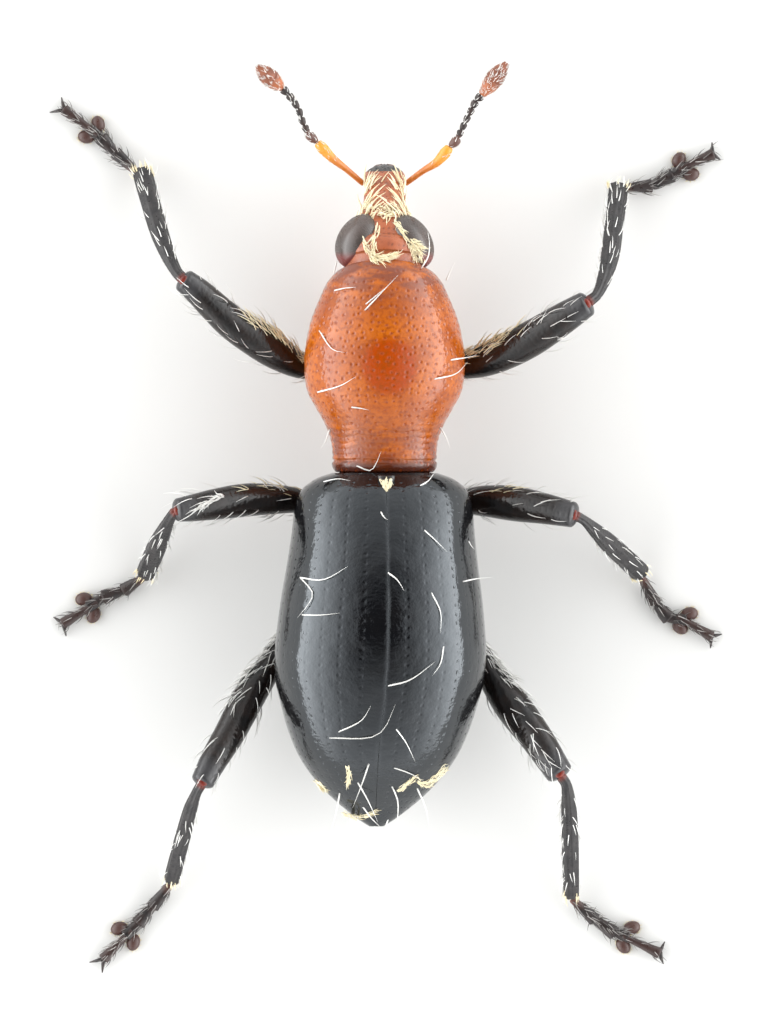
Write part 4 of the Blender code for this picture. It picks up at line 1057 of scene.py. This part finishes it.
femurCoat = {"density": 75, "length": 0.160, "width": 0.0075, "lift": 0.24, "spread": 0.55}
bandCoat = {"density": 2300, "length": 0.115, "width": 0.0085, "lift": 0.16, "spread": 0.30,
            "share": {"fore": 0.8, "mid": 0.08, "hind": 0.7}}
tibiaCoat = {"density": 560, "length": 0.095, "width": 0.0070, "lift": 0.20, "spread": 0.32, "bare": 0.22}
combCoat = {"density": 3200, "length": 0.070, "width": 0.0085, "lift": 0.15, "spread": 0.25}
footCoat = {"density": 520, "length": 0.080, "width": 0.0070, "lift": 0.22, "spread": 0.40}
lobeCoat = {"density": 5200, "length": 0.030, "width": 0.0060, "lift": 0.10, "spread": 0.5}
for number, name in enumerate(legs):
    femur, tibia = legGrids[f"{name}_femur"], legGrids[f"{name}_tibia"]
    side = np.sign(femur[0, 0, 0])
    along = shareAlong(femur)
    growCoat(f"femurHairs_{name}", [femur], [softStep(0.05, 0.15, along) * (1 - softStep(0.93, 0.97, along))],
             [lieAlong(femur)], {**femurCoat, "seed": 20 + number}, whiteHair)
    way = unit(femur[-1].mean(axis=0) - femur[0].mean(axis=0))
    front = unit(np.array((way[1], -way[0], 0)) * side)
    normals = gridNormals(femur)
    band = softStep(0.25, 0.65, normals @ front) * softStep(0.05, 0.35, normals[:, :, 2])
    band = band * softStep(0.10, 0.18, along) * (1 - softStep(0.45, 0.66, along))
    growCoat(f"femurBand_{name}", [femur], [bandCoat["share"][name.split("_")[1]] * band],
             [lieAlong(femur, 0.10 * front)], {**bandCoat, "seed": 70 + number},
             whiteHair if name.endswith("hind") else creamHair)
    along = shareAlong(tibia)
    inner = softStep(0.45, 0.90, gridNormals(tibia) @ np.array((-side, 0.0, 0.0)))
    growCoat(f"tibiaHairs_{name}", [tibia], [softStep(0.12, 0.25, along) * (1 - softStep(0.95, 0.97, along))
                                             * (tibiaCoat["bare"] + inner)],
             [lieAlong(tibia)], {**tibiaCoat, "seed": 30 + number}, whiteHair)
    growCoat(f"tibiaComb_{name}", [tibia], [bump(along - 0.94, 0.025) * (0.45 + inner)], [lieAlong(tibia)],
             {**combCoat, "seed": 40 + number}, creamHair)
    segments, lobes = legGrids[f"{name}_segments"], legGrids[f"{name}_lobes"]
    growCoat(f"footHairs_{name}", segments, [softStep(0.0, 0.05, g[:, :, 2]) for g in segments],
             [lieAlong(g) for g in segments], {**footCoat, "seed": 50 + number}, greyHair)
    rims = [bump(g[:, :, 2] - 0.014, 0.010) for g in lobes]
    outward = [unit((g - g.mean(axis=(0, 1))) * (1, 1, 0.2)) for g in lobes]
    growCoat(f"lobeFringe_{name}", lobes, rims, outward, {**lobeCoat, "seed": 60 + number}, creamHair)

antennaCoats = {"scape": {"density": 420, "length": 0.034, "width": 0.0050, "lift": 0.30, "spread": 0.4},
                "funicle": {"density": 900, "length": 0.044, "width": 0.0055, "lift": 0.28, "spread": 0.4},
                "club": {"density": 2400, "length": 0.032, "width": 0.0048, "lift": 0.35, "spread": 0.4}}
for number, (label, grid) in enumerate(antennaGrids.items()):
    part, side = label.split("_")
    along = shareAlong(grid)
    hairy = softStep(0.45, 0.70, along) if part == "scape" else 1 + 0 * along
    growCoat(f"{part}Hairs_{side}", [grid], [hairy], [lieAlong(grid)],
             {**antennaCoats[part], "seed": 80 + number}, whiteHair)
print("coats grown")


# Single hairs that stand out in the photo, each a list of pixels from its root to its tip

def skinTree(grids):
    points, faces, maps, start = [], [], [], 0
    for grid in grids:
        stations, around = grid.shape[:2]
        i, j, quads = gridQuads(stations, around)
        faces += (quads + start).tolist()
        maps.append(np.stack([j / around, i / (stations - 1)], axis=1))
        points.append(grid.reshape(-1, 3))
        start += stations * around
    return BVHTree.FromPolygons(np.vstack(points).tolist(), faces), np.concatenate(maps)


def hairPoints(pixels, tree, lift, count=9):
    # a curve through the pixels that leaves the skin at its root and stands off it by lift at its tip
    places = smoothRows([atPixel(*pixel) for pixel in pixels], 8)
    steps = lengthAlong(places)
    share = np.linspace(0, 1, count)
    spread = readTable(share * steps[-1], steps, places).T
    found, level, root = [], None, (0.5, 0.5)
    for x, y, t in zip(*spread, share):
        place, _, face, _ = tree[0].ray_cast(Vector((x, y, 4)), Vector((0, 0, -1)))
        if place is not None:
            level = place.z if level is None else max(place.z, level - 0.02)
            root = tree[1][face] if t == 0 else root
        found.append((x, y, (0.8 if level is None else level) - 0.004 + lift * t**0.7))
    return np.array(found), root


def growHairs(name, hairs, width, material, sides=5, seed=0):
    # one mesh of tapered tubes; hairs are (points, root on the flat map)
    rng = np.random.default_rng(seed)
    points, faces, maps, shades, start = [], [], [], [], 0
    turn = np.linspace(0, 2 * pi, sides, endpoint=False)
    for path, root in hairs:
        count = len(path)
        share = np.linspace(0, 1, count)
        radius = 0.5 * width * rng.uniform(0.85, 1.1) * np.minimum(1.0, 1.15 * (1.08 - share))
        way = unit(np.gradient(path, axis=0))
        side = unit(np.cross(way, (0.03, 0.02, 1)))
        up = np.cross(side, way)
        rings = path[:, None] + radius[:, None, None] * (np.cos(turn)[None, :, None] * side[:, None]
                                                         + np.sin(turn)[None, :, None] * up[:, None])
        points.append(rings.reshape(-1, 3))
        for i in range(count - 1):
            for j in range(sides):
                k = (j + 1) % sides
                quad = (i * sides + j, (i + 1) * sides + j, (i + 1) * sides + k, i * sides + k)
                faces.append([start + q for q in quad])
                maps += [(root[0] + 0.003 * (q % sides) / sides, root[1] + 0.003 * (q // sides) / count)
                         for q in quad]
        for cap in (range(sides), range(count * sides - 1, (count - 1) * sides - 1, -1)):
            faces.append([start + q for q in cap])
            maps += [(root[0], root[1])] * sides
        shades += [rng.uniform(0, 1)] * (count * sides)
        start += count * sides
    mesh = bpy.data.meshes.new(name)
    mesh.from_pydata(np.vstack(points) * mm, [], faces)
    mesh.uv_layers.new(name="OFBake").data.foreach_set("uv", np.array(maps).reshape(-1))
    mesh.attributes.new("shade", "FLOAT", "POINT").data.foreach_set("value", np.array(shades))
    mesh.shade_smooth()
    return place(name, mesh, material, "pale_hair")


prothoraxHairs = {"width": 0.0125, "lift": 0.035, "hairs": [
    [(365, 312), (380, 296), (398, 277)], [(366, 306), (378, 296), (388, 288)],
    [(320, 332), (332, 350), (345, 354)], [(318, 393), (340, 387), (356, 378)],
    [(450, 361), (469, 358), (476, 356)], [(434, 380), (455, 375), (467, 363)],
    [(357, 466), (370, 471), (376, 464), (381, 452)], [(335, 292), (345, 290), (356, 289)],
    [(334, 274), (338, 260), (347, 251)], [(421, 270), (428, 258), (429, 244), (427, 232)],
    [(446, 281), (450, 272), (455, 263)], [(352, 408), (360, 409), (369, 411)],
    [(330, 430), (326, 441), (320, 450)],
    [(440, 428), (446, 438), (450, 450)]]}
prothoraxTree = skinTree([prothoraxGrid[:, :prothorax["upper"]]])
growHairs("prothoraxHairs", [hairPoints(hair, prothoraxTree, prothoraxHairs["lift"])
                             for hair in prothoraxHairs["hairs"]], prothoraxHairs["width"], whiteHair, seed=1)

elytraHairs = {"width": 0.0125, "lift": 0.030, "hairs": [
    [(324, 482), (338, 479), (351, 481)], [(420, 486), (428, 481), (434, 473)],
    [(381, 512), (384, 517), (388, 520)],
    [(424, 530), (435, 540), (446, 551)], [(468, 541), (471, 546), (474, 549)],
    [(301, 577), (324, 579), (348, 566)], [(301, 577), (313, 591), (310, 602), (298, 617)],
    [(303, 614), (321, 614), (340, 612)], [(388, 572), (397, 579), (404, 590)],
    [(431, 592), (440, 611), (440, 632)], [(462, 581), (477, 578), (492, 577)],
    [(388, 684), (410, 678), (435, 660)], [(330, 736), (368, 736), (384, 727), (395, 703)],
    [(339, 730), (361, 719), (371, 704)], [(396, 727), (406, 741), (415, 760)],
    [(394, 766), (410, 772), (424, 780)], [(369, 762), (363, 780), (353, 806)],
    [(358, 781), (368, 799), (378, 821)], [(392, 785), (398, 801), (397, 825), (398, 840)],
    [(417, 787), (426, 808), (429, 827)], [(340, 792), (337, 808), (330, 834)],
    [(363, 806), (372, 818), (381, 827)], [(388, 819), (384, 830), (378, 838)],
    [(350, 817), (351, 828), (354, 840)],
    [(358, 815), (357, 828), (356, 839)], [(443, 645), (440, 662), (432, 674)]]}
elytraTree = skinTree([grid[:, :elytron["outside"]] for grid in elytraGrids.values()])
growHairs("elytraHairs", [hairPoints(hair, elytraTree, elytraHairs["lift"]) for hair in elytraHairs["hairs"]],
          elytraHairs["width"], whiteHair, seed=2)


def growTufts(name, tufts, tree, material, seed):
    # short hairs spread along lines of pixels, each running on with its line
    rng = np.random.default_rng(seed)
    hairs = []
    for line in tufts["lines"]:
        path = smoothRows(line, 8)
        for share in rng.uniform(0, 1, tufts["count"]):
            at = share * (len(path) - 1)
            here = readTable(at, np.arange(len(path)), path)
            onward = path[int(at) + 1] - path[int(at)]
            angle = atan2(onward[1], onward[0]) + rng.normal(0, tufts["spread"])
            reach = tufts["length"] * rng.uniform(0.6, 1.2)
            start = here + rng.normal(0, 1.2, 2)
            bend = angle + rng.normal(0, 0.35)
            middle = start + 0.5 * reach * np.array((cos(angle), sin(angle)))
            end = middle + 0.5 * reach * np.array((cos(bend), sin(bend)))
            lift = tufts["lift"] * rng.uniform(0.4, 1.2)
            hairs.append(hairPoints([start, middle, end], tree, lift, count=6))
    growHairs(name, hairs, tufts["width"], material, sides=4, seed=seed)


eyeTufts = {"width": 0.0105, "lift": 0.034, "count": 34, "length": 9.0, "spread": 0.24, "lines": [
    [(379, 222), (377, 232), (374, 242), (373, 252)], [(362, 240), (366, 248), (370, 256), (374, 261)],
    [(394, 222), (399, 229), (404, 236), (411, 243)], [(411, 243), (416, 245), (421, 249)],
    [(411, 243), (417, 251), (421, 262)], [(409, 243), (413, 252), (416, 260)]]}
patchTufts = {"width": 0.0110, "lift": 0.030, "count": 36, "length": 10.0, "spread": 0.24, "lines": [
    [(373, 257), (384, 258), (394, 257)], [(372, 260), (380, 261), (391, 260)]]}
baseTufts = {"width": 0.0115, "lift": 0.040, "count": 15, "length": 9.0, "spread": 0.75, "lines": [
    [(366, 213), (374, 208), (383, 211)], [(403, 212), (396, 208), (387, 212)],
    [(376, 218), (384, 215), (391, 218)]]}
x, y, z = eye["centre"]
eyeBalls = [ballGrid((side * x, y, z), eye["radii"], side * eye["turn"]) for side in (1, -1)]
headTree = skinTree([headGrid, prothoraxGrid[:40], *eyeBalls])
for name, tufts, seed in (
        ("eyeTufts", eyeTufts, 4), ("frontPatch", patchTufts, 5), ("rostrumBaseTufts", baseTufts, 6)):
    growTufts(name, tufts, headTree, creamHair, seed)

scutellumTufts = {"width": 0.0115, "lift": 0.012, "count": 24, "length": 7.0, "spread": 0.30, "lines": [
    [(381, 479), (384, 485), (386, 492)], [(391, 479), (389, 485), (386, 492)],
    [(386, 477), (386, 484), (386, 490)]]}
growTufts("scutellumTufts", scutellumTufts, skinTree([scutellumGrid]), creamHair, 7)

tailTufts = {"width": 0.0095, "lift": 0.016, "count": 42, "length": 8.0, "spread": 0.16, "lines": [
    [(415, 777), (424, 784), (434, 781), (444, 770)], [(419, 782), (430, 780), (442, 768)],
    [(396, 791), (404, 785), (412, 778)], [(341, 810), (352, 815), (364, 816), (374, 811)],
    [(347, 764), (349, 772), (348, 781)], [(316, 779), (320, 784), (324, 789)]]}
growTufts("tailTufts", tailTufts, elytraTree, creamHair, 9)

kneeTufts = {"width": 0.0110, "lift": 0.025, "count": 16, "length": 13.0, "spread": 0.16, "lines": [
    [(227, 496), (218, 498), (207, 504)], [(215, 499), (206, 504), (198, 509)]]}
legTree = skinTree([legGrids[f"{name}_femur"] for name in legs])
growTufts("kneeTufts", kneeTufts, legTree, whiteHair, 8)
print("single hairs placed")


# Camera, floor and light

view = {"distance": 100.0, "level": 0.5, "lens": 36.0}
camera = bpy.data.objects.new("camera", bpy.data.cameras.new("camera"))
scene.collection.objects.link(camera)
x, y = atPixel(*photo["middle"])
camera.location = (x * mm, y * mm, (view["level"] + view["distance"]) * mm)
camera.rotation_euler = (0, 0, pi)
camera.data.lens = view["lens"] * view["distance"] / (photo["rows"] * photo["pixel"])
camera.data.clip_start = 0.001
camera.data.clip_end = 10
scene.camera = camera
scene.view_settings.view_transform = "Standard"

floorMesh = bpy.data.meshes.new("floor")
floorMesh.from_pydata([(-1, -1, 0), (1, -1, 0), (1, 1, 0), (-1, 1, 0)], [], [(0, 1, 2, 3)])
floorMesh.materials.append(floorPaint)
floor = bpy.data.objects.new("floor", floorMesh)
scene.collection.objects.link(floor)

# Radiance of the sky by the angle from straight up: toward the animal's two sides, and toward its ends.
studio = {"angles": (0, 11, 14, 24, 38, 57, 84, 90), "sides": (0.02, 0.03, 0.7, 1.2, 2.2, 4.0, 6.4, 6.8),
          "ends": (0.02, 0.03, 0.12, 0.35, 0.7, 1.0, 1.5, 1.7), "highest": 10.0, "color": (0.985, 0.995, 1.0)}


def addCurve(material, value, places, levels):
    # levels read by place, both as shares of the highest
    ramp = addNode(material, "ShaderNodeValToRGB", {0: value})
    stops = ramp.color_ramp.elements
    for number, (place, level) in enumerate(zip(places, levels)):
        stop = stops[number] if number < 2 else stops.new(place)
        stop.position, stop.color = place, (level, level, level, 1)
    return ramp.outputs[0]


world = bpy.data.worlds.new("studio")
world.use_nodes = True
scene.world = world
background = world.node_tree.nodes["Background"]
direction = addNode(world, "ShaderNodeTexCoord").outputs["Generated"]
split = addNode(world, "ShaderNodeSeparateXYZ", {0: direction}).outputs
fromTop = calculate(world, "ARCCOSINE", split["Z"])
share = mapRange(world, fromTop, 0.0, pi / 2)
places = [angle / 90 for angle in studio["angles"]]
sidesLevel, endsLevel = (
    addCurve(world, share, places, [level / studio["highest"] for level in studio[part]])
    for part in ("sides", "ends"))
across = calculate(world, "MULTIPLY", split["X"], split["X"])
level = calculate(world, "ADD", across, calculate(world, "MULTIPLY", split["Y"], split["Y"]))
toSides = calculate(world, "DIVIDE", across, calculate(world, "MAXIMUM", level, 0.0001))
radiance = mixColors(world, toSides, endsLevel, sidesLevel)
strength = calculate(world, "MULTIPLY", radiance, studio["highest"])
world.node_tree.links.new(strength, background.inputs["Strength"])
background.inputs["Color"].default_value = (*studio["color"], 1)
print("studio ready")
